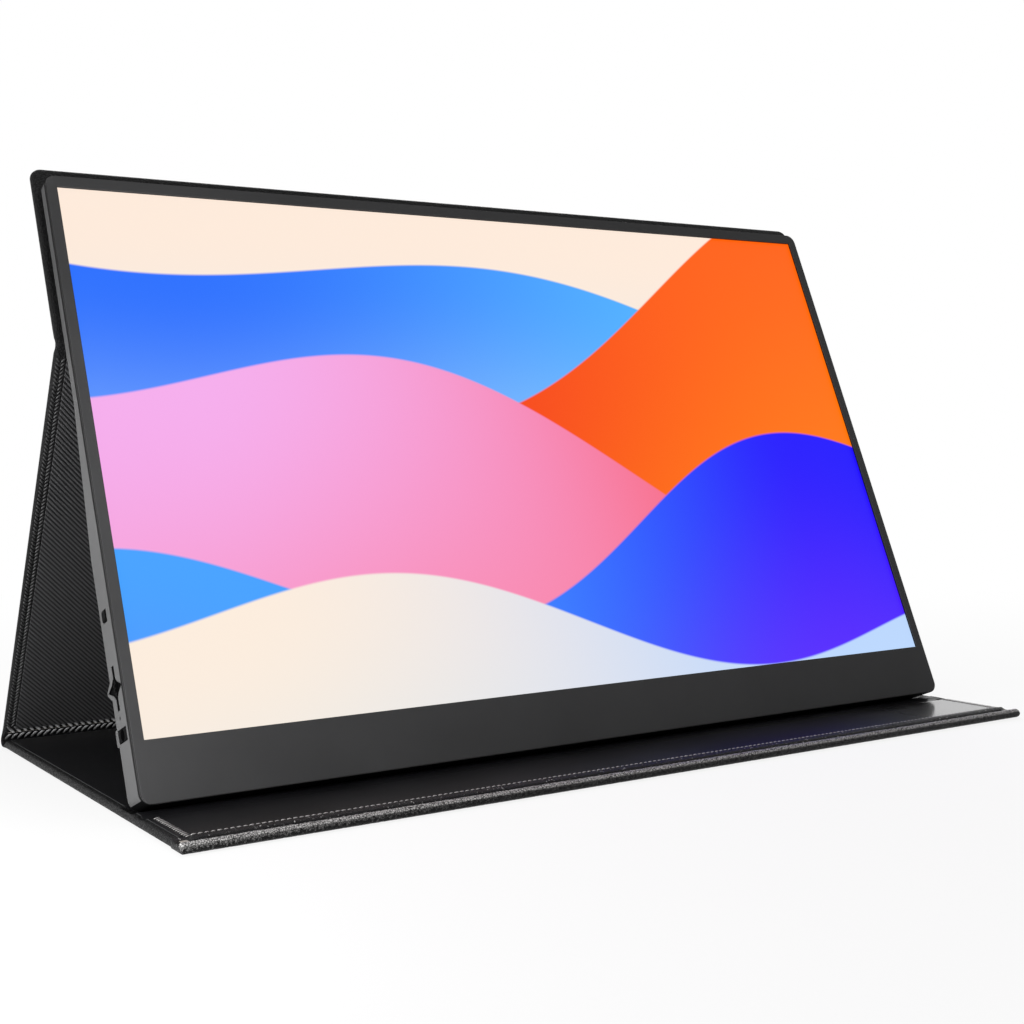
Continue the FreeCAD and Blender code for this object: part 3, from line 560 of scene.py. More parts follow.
# Screen picture: the sky behind, then waves from the back to the front. Each has its numbers and then its
# colours, in the order of their names.
SKY_LOW = (0.55, 0.78, 0.90, 1.0)
SKY_HIGH = (0.98, 0.82, 0.70, 1.0)
WAVE_NUMBERS = ("Level", "Slope", "Swing", "Bends", "Start")
WAVE_COLOURS = ("Left", "Right", "Depth")
PICTURE_WAVES = (
    (0.80, -0.14, 0.09, 2.7, 1.2, (0.02, 0.16, 0.98), (0.09, 0.48, 1.0), (0.45, 0.80, 0.97)),
    (0.72, 0.27, 0.12, 2.9, 4.9, (0.85, 0.012, 0.006), (1.0, 0.12, 0.0), (1.0, 0.2, 0.0)),
    (0.50, -0.20, 0.13, 3.1, 2.3, (0.91, 0.42, 0.84), (0.93, 0.10, 0.13), (0.95, 0.22, 0.34)),
    (0.33, 0.10, 0.13, 3.5, 5.4, (0.06, 0.36, 1.0), (0.013, 0.004, 0.98), (0.15, 0.03, 0.98)),
    (0.17, -0.08, 0.08, 3.7, 3.0, (0.97, 0.84, 0.72), (0.50, 0.68, 0.98), (0.58, 0.80, 0.92)),
)

# Colour, gloss and, where it is one, metal of the pieces that the housing and the folio hide
HIDDEN_FINISHES = {
    "optical_film": ((0.82, 0.83, 0.84), 0.5),
    "light_guide": ((0.78, 0.83, 0.86), 0.15),
    "frame_plastic": ((0.75, 0.75, 0.73), 0.5),
    "foam_tape": ((0.012, 0.012, 0.012), 0.85),
    "chip": ((0.02, 0.02, 0.021), 0.45),
    "flat_cable": ((0.62, 0.58, 0.46), 0.4),
    "wire": ((0.02, 0.02, 0.02), 0.5),
    "speaker": ((0.025, 0.025, 0.026), 0.55),
    "screw": ((0.55, 0.55, 0.56), 0.3, 1.0),
    "magnet": ((0.5, 0.5, 0.51), 0.22, 1.0),
    "light": ((0.004, 0.004, 0.0045), 0.4),
    "cover_board": ((0.24, 0.22, 0.2), 0.8),
}
BRUSHED_FINISHES = {
    "steel_sheet": ((0.5, 0.5, 0.51), 0.38),
    "aluminium": ((0.66, 0.66, 0.68), 0.34),
    "socket": ((0.56, 0.56, 0.57), 0.28),
}
CIRCUIT_COLOURS = ((0.012, 0.11, 0.045), (0.05, 0.25, 0.09))


# Shapes
def smooth_step(low, high, value):
    share = min(1.0, max(0.0, (value - low) / (high - low)))
    return share * share * (3 - 2 * share)


def turned(direction):
    """A side view direction turned a quarter, to the folio's outside."""
    return Vector((-direction.y, direction.x))


class FoldPath:
    """Middle line of the folio seen from the side, with rounded folds, measured from its top edge."""

    def __init__(self, corners, radii):
        corners = [Vector((corner.y, corner.z)) for corner in corners]
        self.runs = []
        self.folds = []
        self.length = 0.0
        start = corners[0]
        for index, radius in enumerate(radii, start=1):
            into = (corners[index] - corners[index - 1]).normalized()
            out = (corners[index + 1] - corners[index]).normalized()
            turn = math.atan2(into.x * out.y - into.y * out.x, into.dot(out))
            trim = radius * math.tan(abs(turn) / 2)
            first = corners[index] - into * trim
            self.add_run((first - start).length, start, into, 0.0, 0.0)
            self.folds.append(self.length + radius * abs(turn) / 2)
            self.add_run(radius * abs(turn), first, into, turn, math.copysign(radius, turn))
            start = corners[index] + out * trim
        into = (corners[-1] - start).normalized()
        self.add_run((corners[-1] - start).length, start, into, 0.0, 0.0)

    def add_run(self, span, start, direction, turn, radius):
        self.runs.append((self.length, span, start, direction, turn, radius))
        self.length += span

    def at(self, distance):
        """Point on the middle line, and the direction to the folio's outside."""
        run = next((run for run in reversed(self.runs) if distance >= run[0]), self.runs[0])
        begun, span, start, direction, turn, radius = run
        if turn:
            heading = Matrix.Rotation(turn * (distance - begun) / span, 2) @ direction
            point = start + turned(direction) * radius - turned(heading) * radius
        else:
            heading = direction
            point = start + direction * (distance - begun)
        outside = turned(heading)
        return Vector((0, point.x, point.y)), Vector((0, outside.x, outside.y))


# Radii of the folio's middle line at the back fold and the rear fold
FOLD_RADII = (2.0 * MM, 0.6 * MM)
# Half widths of a crease's floor and of the whole crease
BACK_CREASE = (0.8 * MM, 3.4 * MM)
REAR_CREASE = (1.6 * MM, 4.8 * MM)
# Leather left outside the middle line at the back fold
BACK_CREASE_LEFT = 0.3 * MM
# Half width of the lip crease's floor, and how far the crease reaches to the front and to the rear
LIP_CREASE = (0.3 * MM, 1.9 * MM, 3.0 * MM)
# Place on the base where the leg's length of leather meets the base's
LEATHER_JOIN = 0.02
# Steps of the meshes along the folio, where it bends and where it is flat, and across it
CLOSE_STEP = 0.4 * MM
FLAT_STEP = 3.5 * MM
STEPS_ACROSS = 72
SIDE_TURNS = [math.radians(angle) for angle in (20, 40, 60, 75, 86)]


class Folio:
    """The folio's side view: where its middle line runs and how thick it is along it."""

    def __init__(self, look):
        self.look = look
        self.half = look.thickness / 2
        self.band_rear = CAD_LOW.y + look.front_band
        top = BACK_FOLD + SCREEN_UP * look.upper_length
        front = Vector((0, self.band_rear, self.half))
        self.path = FoldPath((top, BACK_FOLD, REAR_FOLD, front), FOLD_RADII)
        self.back_fold, self.rear_fold = self.path.folds
        self.mid_leg = (self.back_fold + self.rear_fold) / 2
        self.mid_base = self.on_base(LEATHER_JOIN)

    def on_base(self, y):
        """Distance along the path of a place on the base or the lip."""
        return self.path.length - (y - self.band_rear)

    def outer(self, distance):
        """From the middle line to the outside."""
        pressed = 1 - smooth_step(*BACK_CREASE, abs(distance - self.back_fold))
        return self.half - pressed * (self.half - BACK_CREASE_LEFT)

    def inner(self, distance, aside=0.0):
        """From the middle line to the inside, without the lining. aside is 1 at the folio's side edges."""
        if distance < self.back_fold:
            return self.half - 0.03 * MM
        full = self.half - self.look.lining
        folded = 1 - smooth_step(*REAR_CREASE, abs(distance - self.rear_fold))
        y = self.band_rear + self.path.length - distance
        front = smooth_step(self.look.groove_front - 0.6 * MM, self.look.groove_front + 1.6 * MM, y)
        rear = 1 - smooth_step(self.look.groove_rear - 2.2 * MM, self.look.groove_rear + 0.6 * MM, y)
        floor, to_front, to_rear = LIP_CREASE
        reach = to_front if y < LIP_FOLD.y else to_rear
        creased = 1 - smooth_step(floor, reach, abs(y - LIP_FOLD.y))
        sunk = max(front * rear, creased) * (1 - 0.9 * aside) if distance > self.rear_fold else 0.0
        depth = full - folded * (full - self.look.leather + self.half)
        return depth - sunk * (full + self.half - self.look.groove_floor)

    def stations(self, start, end):
        """Distances along the path, close together at the folds, the groove and a free end."""
        marks = (
            (0.0, 1.6 * MM),
            (self.back_fold, 4.5 * MM),
            (self.rear_fold, 6.0 * MM),
            (self.on_base(LIP_FOLD.y), 3.0 * MM),
            (self.on_base(self.look.groove_front), 3.5 * MM),
            (self.on_base(self.look.groove_rear), 4.0 * MM),
        )
        places = [start]
        while places[-1] < end:
            close = any(abs(places[-1] - mark) < reach for mark, reach in marks)
            places.append(places[-1] + (CLOSE_STEP if close else FLAT_STEP))
        return places[:-1] + [end]

    def columns(self, half_width, edge, corner):
        """Places across the folio, with the share of the thickness left at each."""
        flat = half_width - max(corner, edge)
        places = [(flat * (2 * step / STEPS_ACROSS - 1), 1.0) for step in range(STEPS_ACROSS + 1)]
        side = []
        if corner > edge:
            side = [(flat + (corner - edge) * step / 5, 1.0) for step in range(1, 6)]
        for turn in SIDE_TURNS:
            side.append((half_width - edge + edge * math.sin(turn), math.cos(turn)))
        return [(-place, share) for place, share in reversed(side)] + places + side


def placed(name, data):
    """New object at the origin, in the scene."""
    item = bpy.data.objects.new(name, data)
    bpy.context.scene.collection.objects.link(item)
    return item


def coated(mesh, material):
    mesh.materials.clear()
    mesh.materials.append(material)
    return mesh


def smoothed(mesh, sharp):
    """Smooth faces, apart from edges sharper than an angle."""
    mesh.polygons.foreach_set("use_smooth", [True] * len(mesh.polygons))
    mesh.set_sharp_from_angle(angle=sharp)
    return mesh


def result_of(item):
    """Mesh that an object's modifiers make."""
    graph = bpy.context.evaluated_depsgraph_get()
    return bpy.data.meshes.new_from_object(item.evaluated_get(graph), depsgraph=graph)


def finished(name, mesh, material, sharp=math.radians(40)):
    """Object at the origin with a clean, smooth mesh."""
    shape = bmesh.new()
    shape.from_mesh(mesh)
    bmesh.ops.recalc_face_normals(shape, faces=shape.faces)
    shape.to_mesh(mesh)
    shape.free()
    return placed(name, coated(smoothed(mesh, sharp), material))


def sheet(name, folio, span, columns, outer, inner, material, rounded_start=0.0, corner=0.0):
    """Closed sheet along the folio's path, from one distance to another, with rounded sides."""
    places = folio.stations(*span)
    count = len(places)
    half_width = columns[-1][0]
    points, map_points = [], []
    for across, share in columns:
        over = max(0.0, abs(across) - (half_width - corner))
        drop = corner - math.sqrt(max(0.0, corner * corner - over * over))
        full = folio.look.half_width
        aside = smooth_step(full - 2.4 * MM, full - 0.8 * MM, abs(across))
        for side in (1, -1):
            for distance in places:
                ease = max(0.0, 1 - distance / (3 * corner)) if corner else 0.0
                middle, outside = folio.path.at(distance + drop * ease)
                above, below = outer(distance), inner(distance, aside)
                centre = (above - below) / 2
                reach = (above + below) / 2 * share
                if rounded_start and distance < rounded_start:
                    reach *= max(0.1, math.sqrt(1 - (1 - distance / rounded_start) ** 2))
                points.append(middle + outside * (centre + side * reach) + ACROSS * across)
                map_points.append((across, distance))
    faces = []
    ring = 2 * count
    for column in range(len(columns) - 1):
        here, there = column * ring, (column + 1) * ring
        for row in range(count - 1):
            for side in (0, count):
                a = side + row
                faces.append((here + a, here + a + 1, there + a + 1, there + a))
        for row in (0, count - 1):
            faces.append((here + row, there + row, there + count + row, here + count + row))
    for start in (0, (len(columns) - 1) * ring):
        for row in range(count - 1):
            faces.append((start + row, start + row + 1, start + count + row + 1, start + count + row))
    mesh = bpy.data.meshes.new(name)
    mesh.from_pydata(points, [], faces)
    layer = mesh.uv_layers.new(name=SURFACE_MAP)
    for loop in mesh.loops:
        layer.data[loop.index].uv = map_points[loop.vertex_index]
    return finished(name, mesh, material)


def middle_of(node):
    low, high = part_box(node)
    return (low + high) / 2


# Edges sharper than this are rounded
BEVELLED_ANGLE = math.radians(35)


def softened(node, width, material, openings=()):
    """Copy of a CAD node whose edges are rounded a little. It stands for the node.

    Flat faces become one polygon each. Cuts through the piece's middle and its openings stay, so that no
    polygon has a hole in it.
    """
    mesh = NODES[node].data.copy()
    shape = bmesh.new()
    shape.from_mesh(mesh)
    bmesh.ops.remove_doubles(shape, verts=shape.verts, dist=2e-6)
    cuts = [(middle_of(node), ACROSS)]
    cuts += [(middle_of(other), SCREEN_UP) for other in (node, *openings)]
    for place, direction in cuts:
        whole = shape.verts[:] + shape.edges[:] + shape.faces[:]
        cut = bmesh.ops.bisect_plane(shape, geom=whole, dist=1e-7, plane_co=place, plane_no=direction)
        for edge in cut["geom_cut"]:
            if isinstance(edge, bmesh.types.BMEdge):
                edge.seam = True
    bmesh.ops.dissolve_limit(
        shape, angle_limit=math.radians(1), verts=shape.verts, edges=shape.edges, delimit={"SEAM"}
    )
    shape.to_mesh(mesh)
    shape.free()
    rough = placed(f"{node}_rough", smoothed(mesh, BEVELLED_ANGLE))
    bevel = rough.modifiers.new("Edges", "BEVEL")
    bevel.width = width
    bevel.segments = 2
    bevel.limit_method = "ANGLE"
    bevel.angle_limit = BEVELLED_ANGLE
    bevel.use_clamp_overlap = False
    bevel.harden_normals = True
    done = result_of(rough)
    bpy.data.objects.remove(rough)
    piece = placed(f"{node}_finish", coated(done, material))
    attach(piece, NODES[node]["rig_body"])
    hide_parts(node)
    return piece


# Stitches
@functools.cache
def stitch_tree():
    """Geometry nodes that lay slanted stitches along a path."""
    tree = bpy.data.node_groups.new("Slanted stitches", "GeometryNodeTree")
    for label, kind in (
        ("Path", "NodeSocketGeometry"),
        ("Pitch", FLOAT),
        ("Stitch Size", VECTOR),
        ("Facing", VECTOR),
        ("Slant", FLOAT),
        ("Unevenness", FLOAT),
        ("Seed", "NodeSocketInt"),
        ("Thread", "NodeSocketMaterial"),
    ):
        tree.interface.new_socket(label, in_out="INPUT", socket_type=kind)
    tree.interface.new_socket("Stitches", in_out="OUTPUT", socket_type="NodeSocketGeometry")
    graph = Graph(tree)
    given = graph.add("NodeGroupInput").outputs
    curve = graph.out("GeometryNodeMeshToCurve", Mesh=given["Path"])
    spacing = {"Curve": curve, "Length": given["Pitch"]}
    spots = graph.add("GeometryNodeCurveToPoints", spacing, mode="LENGTH").outputs
    flat = graph.out("FunctionNodeAlignRotationToVector", Vector=given["Facing"], axis="Z")
    heading = {"Rotation": flat, "Vector": spots["Tangent"]}
    along = graph.out("FunctionNodeAlignRotationToVector", heading, axis="X", pivot_axis="Z")
    lean = graph.out("FunctionNodeAxisAngleToRotation", Axis=(0, 0, 1), Angle=given["Slant"])
    turns = {"Rotation": along, "Rotate By": lean}
    leaning = graph.out("FunctionNodeRotateRotation", turns, rotation_space="LOCAL")
    least = graph.maths("SUBTRACT", 1.0, given["Unevenness"])
    most = graph.maths("ADD", 1.0, given["Unevenness"])
    drawn = graph.add("FunctionNodeRandomValue", {2: least, 3: most}, data_type="FLOAT", Seed=given["Seed"])
    sized = graph.scaled(given["Stitch Size"], drawn.outputs[1])
    stitch = graph.out("GeometryNodeMeshUVSphere", Segments=8, Rings=5, Radius=0.5)
    each = {"Points": spots["Points"], "Instance": stitch, "Rotation": leaning, "Scale": sized}
    laid = graph.out("GeometryNodeInstanceOnPoints", each)
    real = graph.out("GeometryNodeRealizeInstances", Geometry=laid)
    shown = graph.out("GeometryNodeSetMaterial", Geometry=real, Material=given["Thread"])
    graph.add("NodeGroupOutput", Stitches=shown)
    return tree


def stitch_rows(name, rows, material, look):
    """One mesh of all the rows. A row is its points, pitch, stitch size, facing and slant."""
    tree = stitch_tree()
    sockets = {item.name: item.identifier for item in tree.interface.items_tree}
    whole = bmesh.new()
    for number, (points, pitch, size, facing, slant) in enumerate(rows):
        line = bpy.data.meshes.new(f"{name}_line")
        line.from_pydata(points, [(index, index + 1) for index in range(len(points) - 1)], [])
        host = placed(f"{name}_line", line)
        modifier = host.modifiers.new("Stitches", "NODES")
        modifier.node_group = tree
        settings = {
            "Pitch": pitch,
            "Stitch Size": size,
            "Facing": tuple(facing),
            "Slant": slant,
            "Unevenness": look.unevenness,
            "Seed": look.seed + number,
            "Thread": material,
        }
        for label, value in settings.items():
            modifier[sockets[label]] = value
        laid = result_of(host)
        whole.from_mesh(laid)
        host.modifiers.remove(modifier)
        bpy.data.objects.remove(host)
        bpy.data.meshes.remove(laid)
    mesh = bpy.data.meshes.new(name)
    whole.to_mesh(mesh)
    whole.free()
    return finished(name, mesh, material, math.radians(80))


def blend_back(piece):
    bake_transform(piece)


def blend_rear(piece):
    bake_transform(piece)


def blend_lip(piece):
    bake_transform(piece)


# Ends of the leg's lining and hems below the back fold and above the rear fold
LEG_TOP = 5 * MM
LINING_FOOT = 6.6 * MM
HEM_FOOT = 8.8 * MM


class FOLIO_OT_skins(bpy.types.Operator):
    """Leather outside of the folio, in three lengths that bend at its folds"""

    bl_idname = "folio.skins"
    bl_label = "Folio leather"

    def execute(self, context):
        folio = Folio(context.scene.folio_look)
        look = folio.look
        rough = {"cell": 1.1 * MM, "depth": 0.2 * MM, "gloss": 0.38}
        leather = leather_finish("cover_leather", look.leather_colour, **rough)
        spans = {
            "cover_back": (0.0, folio.mid_leg),
            "cover_leg": (folio.mid_leg, folio.mid_base),
            "cover_base": (folio.mid_base, folio.path.length + 0.3 * MM),
        }
        stands_for = {
            "cover_back": ("upper_panel_skin", "upper_panel_lining", "leg_crease"),
            "cover_leg": ("leg_skin", "rear_crease"),
            "cover_base": ("rear_base_skin", "lip_skin", "lip_crease"),
        }
        bends = {"cover_back": blend_back, "cover_leg": blend_rear, "cover_base": blend_lip}
        for name, span in spans.items():
            top = name == "cover_back"
            corner = look.corner if top else 0.0
            columns = folio.columns(look.half_width, look.edge, corner)
            end = look.edge if top else 0.0
            piece = sheet(name, folio, span, columns, folio.outer, folio.inner, leather, end, corner)
            bends[name](piece)
            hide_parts(*stands_for[name])
        return {"FINISHED"}


class FOLIO_OT_linings(bpy.types.Operator):
    """Woven lining of the leg, and the smooth lining of the base and the lip"""

    bl_idname = "folio.linings"
    bl_label = "Folio linings"

    def execute(self, context):
        folio = Folio(context.scene.folio_look)
        look = folio.look
        sink = 0.05 * MM

        def under(distance):
            return -(folio.inner(distance) - sink)

        def over(distance, aside):
            return folio.inner(distance, aside) + look.lining

        twill = twill_finish("leg_twill", look.weave_dark, look.weave_light, TWILL_THREAD)
        columns = folio.columns(look.half_width - look.side_hem, 0.3 * MM, 0.0)
        span = (folio.back_fold + LEG_TOP, folio.rear_fold - LINING_FOOT)
        leg = sheet("leg_lining_cloth", folio, span, columns, under, over, twill)
        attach(leg, "leg")
        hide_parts("leg_lining")

        smooth = lining_finish("base_lining", look.lining_colour)
        columns = folio.columns(look.half_width - look.base_hem, 0.3 * MM, 0.0)
        span = (folio.rear_fold + 5.2 * MM, folio.path.length)
        base = sheet("base_lining_leather", folio, span, columns, under, over, smooth)
        blend_lip(base)
        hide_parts("rear_base_lining", "lip_lining")
        return {"FINISHED"}


# Place behind the front edge, half width and height of the stitched ridge
RIDGE = (6.1 * MM, 2.3 * MM, 1.5 * MM)
# Height of the band between the ridge and the roll
VALLEY = 2.3 * MM
# The ridge starts to run out this far from the lip's sides, and over this length
RIDGE_STOP = 6.4 * MM
RIDGE_RUNOUT = 2 * MM
# Rounding of the roll at its two ends, and the angles of its columns
ROLL_END = 0.5 * MM
ROLL_END_TURNS = [math.radians(angle) for angle in (25, 50, 70, 84)]


def band_height(look, back, end):
    """Height of the band behind its roll. end is 0 where the ridge stops short of the lip's sides."""
    place, half_width, rise = RIDGE
    tube = math.sqrt(max(0.0, 1 - ((back - place) / half_width) ** 2)) * rise * end
    roll = look.thickness / 2
    over = min(1.0, max(0.0, (back - roll) / roll))
    rolled = roll + roll * math.sqrt(max(0.0, 1 - over * over))
    settled = VALLEY + (look.thickness - 0.2 * MM - VALLEY) * smooth_step(6.5 * MM, 8.6 * MM, back)
    return max(rolled, settled, VALLEY + tube)


class FOLIO_OT_lip_edge(bpy.types.Operator):
    """Pebbled band and rolled edge along the front of the lip"""

    bl_idname = "folio.lip_edge"
    bl_label = "Lip edge"

    def profile(self, look, end):
        """Side view of the band: distance behind the front edge, height and share of the pebbles."""
        roll = look.thickness / 2
        rear = look.front_band + 0.4 * MM
        points = [(rear, 0.0, 0.0), (rear * 0.6, 0.0, 0.0)]
        round_steps, band_steps = 14, 26
        for step in range(round_steps + 1):
            turn = math.radians(-90 + 180 * step / round_steps)
            pebbled = 0.3 + 0.7 * step / round_steps
            points.append((roll - roll * math.cos(turn), roll + roll * math.sin(turn), pebbled))
        for step in range(1, band_steps + 1):
            back = roll + (rear - roll) * step / band_steps
            pebbled = 0.25 + 0.75 * (1 - smooth_step(1.8 * MM, 3.0 * MM, back))
            points.append((back, band_height(look, back, end), pebbled))
        return points

    def execute(self, context):
        folio = Folio(context.scene.folio_look)
        look = folio.look
        count = len(self.profile(look, 1.0))
        flat = look.half_width - ROLL_END
        fine = 0.45 * MM
        columns = [(fine * step - flat, 1.0) for step in range(round(2 * flat / fine) + 1)]
        ends = [(flat + ROLL_END * math.sin(turn), math.cos(turn)) for turn in ROLL_END_TURNS]
        columns = [(-place, share) for place, share in reversed(ends)] + columns + ends
        middle = look.thickness / 2
        points = []
        for across, share in columns:
            past = (abs(across) - look.half_width + RIDGE_STOP) / RIDGE_RUNOUT
            past = min(1.0, max(0.0, past))
            profile = self.profile(look, math.sqrt(1 - past * past))
            ring = []
            for back, height, _ in profile:
                ring.append(Vector((across, CAD_LOW.y + back, middle + (height - middle) * share)))
            for index, (_, _, rough) in enumerate(profile):
                tangent = ring[(index + 1) % count] - ring[index - 1]
                normal = Vector((0, tangent.z, -tangent.y)).normalized()
                cells, _ = noise.voronoi(ring[index] / look.pebble_cell)
                crease = smooth_step(0.0, 0.45, cells[1] - cells[0])
                points.append(ring[index] - normal * look.pebble * (1 - crease) * rough * share)
        faces = []
        for column in range(len(columns) - 1):
            for row in range(count):
                a, b = column * count + row, column * count + (row + 1) % count
                faces.append((a, b, b + count, a + count))
        faces.append(tuple(range(count)))
        faces.append(tuple(range((len(columns) - 1) * count, len(columns) * count)))
        mesh = bpy.data.meshes.new("lip_edge")
        mesh.from_pydata(points, [], faces)
        # The lip's front gets painted highlights as glints on its pebbles
        rough = {"cell": 0.7 * MM, "depth": 0.16 * MM, "gloss": 0.25, "painted_glint": look.painted_glint_colour}
        material = leather_finish("lip_edge_leather", look.leather_colour, **rough)
        piece = finished("lip_edge", mesh, material, math.radians(75))
        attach(piece, "lip")
        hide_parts("lip_edge_roll")
        return {"FINISHED"}


class FOLIO_OT_braids(bpy.types.Operator):
    """Braid along the inside of the rear fold, and woven hems beside the leg's lining"""

    bl_idname = "folio.braids"
    bl_label = "Folio braids"

    def execute(self, context):
        folio = Folio(context.scene.folio_look)
        look, stitch = folio.look, context.scene.stitch_look
        slant = math.radians(44)

        def inside(distance, across, lift):
            middle, outside = folio.path.at(distance)
            return middle - outside * (folio.inner(distance) + lift) + ACROSS * across

        def twin(place, width, pitch, thick, facing):
            """Two leaning rows side by side, as a herringbone."""
            size = (width * 0.68, thick, 0.55 * MM)
            return [(place(side * width / 4), pitch, size, facing, -side * slant) for side in (1, -1)]

        reach = look.half_width - 2.5 * MM
        centre = folio.rear_fold - 4.9 * MM

        def along_fold(offset):
            return [inside(centre - offset, across, 0.1 * MM) for across in (-reach, reach)]

        # Painted light: the braid's thread is a pale, lit copy of the hems' dark thread, with painted shade
        # away from its centre
        painted_bright = thread_finish("hinge_braid_painted_lit_thread", stitch.painted_lit_braid_colour, inside(centre, 0.0, 0.0))
        facing = (LEG_IN + UP * 0.2).normalized()
        rows = twin(along_fold, stitch.braid_width, stitch.braid_pitch, 1.1 * MM, facing)
        braid = stitch_rows("hinge_braid", rows, painted_bright, stitch)
        blend_rear(braid)

        dark = thread_finish("leg_hem_thread", stitch.hem_colour)
        rows = []
        for side in (-1, 1):
            def along_side(offset, side=side):
                across = side * (look.half_width - look.side_hem / 2 - 0.2 * MM) + offset
                ends = (folio.back_fold + LEG_TOP, folio.rear_fold - HEM_FOOT)
                return [inside(distance, across, -0.05 * MM) for distance in ends]

            rows += twin(along_side, look.side_hem - 0.8 * MM, 1.5 * MM, 0.75 * MM, LEG_IN)
        hems = stitch_rows("leg_hems", rows, dark, stitch)
        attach(hems, "leg")
        return {"FINISHED"}


class FOLIO_OT_lip_stitches(bpy.types.Operator):
    """Rows of stitches along the front and the sides of the lip"""

    bl_idname = "folio.lip_stitches"
    bl_label = "Lip stitches"

    def execute(self, context):
        folio = Folio(context.scene.folio_look)
        look, stitch = folio.look, context.scene.stitch_look
        thread = thread_finish("lip_thread", stitch.thread_colour)
        inset = 5.0 * MM
        front = folio.band_rear - 0.1 * MM
        reach = look.half_width - inset - 1.4 * MM
        behind = 7.3 * MM
        height = band_height(look, behind, 1.0)
        row = [Vector((across, CAD_LOW.y + behind, height)) for across in (-reach, reach)]
        rows = [(row, stitch.rope_pitch, (1.9 * MM, 0.95 * MM, 0.6 * MM), UP, math.radians(16))]
        for side in (-1, 1):
            places = [front - 0.6 * MM + 0.5 * MM * step for step in range(50)]
            path = []
            for y in places:
                distance = folio.on_base(max(y, folio.band_rear))
                height = folio.half + folio.inner(distance) + look.lining
                path.append(Vector((side * (look.half_width - inset), y, height)))
            size = (0.62 * MM, 2.3 * MM, 0.45 * MM)
            rows.append((path, stitch.side_pitch, size, UP, math.radians(-24 * side)))
        piece = stitch_rows("lip_stitches", rows, thread, stitch)
        blend_lip(piece)
        return {"FINISHED"}


# Pieces in openings of the rear cover
OPENINGS = ("power_button", "jog_wheel", "status_light_pipe", "headphone_jack")
OPENINGS += ("data_socket_upper", "data_socket_lower", "video_socket", "speaker_left")


def control_plastic(look):
    """Finish of the controls, made once."""
    name = "control_plastic"
    matte = {"grain_size": 0.25 * MM, "gloss": 0.55, "strength": 0.2, "sheen": 0.01}
    return bpy.data.materials.get(name) or moulded_finish(name, look.control_colour, **matte)


# Depths of the painted shade line between bezel and rear cover, from the front
SEAM = (0.3 * MM, 1.9 * MM)
# How far round the jog wheel the cover is painted black as shade, and between which depths
PAINTED_SHADE_REACH = 8 * MM
PAINTED_SHADE_DEPTHS = (0.16 * MM, 1.9 * MM)


class HOUSING_OT_shells(bpy.types.Operator):
    """Front bezel and rear cover with softened edges"""

    bl_idname = "housing.shells"
    bl_label = "Housing"

    def paint_shade_black(self, mesh, black):
        """Painted shade: black in the finger scoop and the slot round the jog wheel, as if they were deep
        openings, and on the foot's faces that look down, as shade underneath.
        """
        mesh.materials.append(black)
        least, most = PAINTED_SHADE_DEPTHS
        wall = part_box("rear_cover")[0].x
        wheel = middle_of("jog_wheel")
        for polygon in mesh.polygons:
            sunk = polygon.center.x - wall
            away = polygon.center - wheel
            near = max(abs(away.dot(SCREEN_UP)), abs(away.dot(SCREEN_BACK))) < PAINTED_SHADE_REACH
            # Painted shade in the scoop and slot, and on the faces that look down
            if near and least < sunk < most or polygon.normal.dot(SCREEN_UP) < -0.5:
                polygon.material_index = 1

    def execute(self, context):
        look = context.scene.housing_look
        front = min(vertex.co.dot(SCREEN_BACK) for vertex in NODES["front_bezel"].data.vertices)
        # Bezel and cover get the parting line's painted shade
        seam = [front + depth for depth in SEAM]
        shared = {"grain_size": 0.35 * MM, "strength": 0.3, "seam": seam}
        bezel = moulded_finish("bezel_plastic", look.bezel_colour, gloss=0.55, sheen=0.05, **shared)
        softened("front_bezel", look.bevel, bezel)
        shell = moulded_finish("shell_plastic", look.shell_colour, gloss=0.5, sheen=0.04, **shared)
        cover = softened("rear_cover", look.bevel, shell, OPENINGS)
        self.paint_shade_black(cover.data, control_plastic(look))
        return {"FINISHED"}


class HOUSING_OT_controls(bpy.types.Operator):
    """Power button, jog wheel and headphone jack"""

    bl_idname = "housing.controls"
    bl_label = "Controls"

    def execute(self, context):
        look = context.scene.housing_look
        black = control_plastic(look)
        for node in ("power_button", "jog_wheel", "headphone_jack"):
            softened(node, look.control_bevel, black)
        coated(NODES["jog_carrier"].data, black)
        return {"FINISHED"}


class HOUSING_OT_inner_parts(bpy.types.Operator):
    """Finishes of the parts that the housing and the folio hold"""

    bl_idname = "housing.inner_parts"
    bl_label = "Inner parts"

    def execute(self, context):
        finishes = {}
        for slot, (base, *shine) in HIDDEN_FINISHES.items():
            finishes[slot] = moulded_finish(slot, base, 0.3 * MM, *shine)
        for slot, (base, gloss) in BRUSHED_FINISHES.items():
            finishes[slot] = brushed_finish(slot, base, gloss)
        finishes["circuit_board"] = circuit_finish("circuit_board", *CIRCUIT_COLOURS)
        for node, slot in SLOT_OF.items():
            if slot in finishes:
                coated(NODES[node].data, finishes[slot])
        return {"FINISHED"}


class SCREEN_OT_picture(bpy.types.Operator):
    """Lit screen with a plain picture of coloured waves"""

    bl_idname = "screen.picture"
    bl_label = "Screen picture"

    def execute(self, context):
        coated(NODES["lcd_cell"].data, picture_finish("screen_picture"))
        return {"FINISHED"}


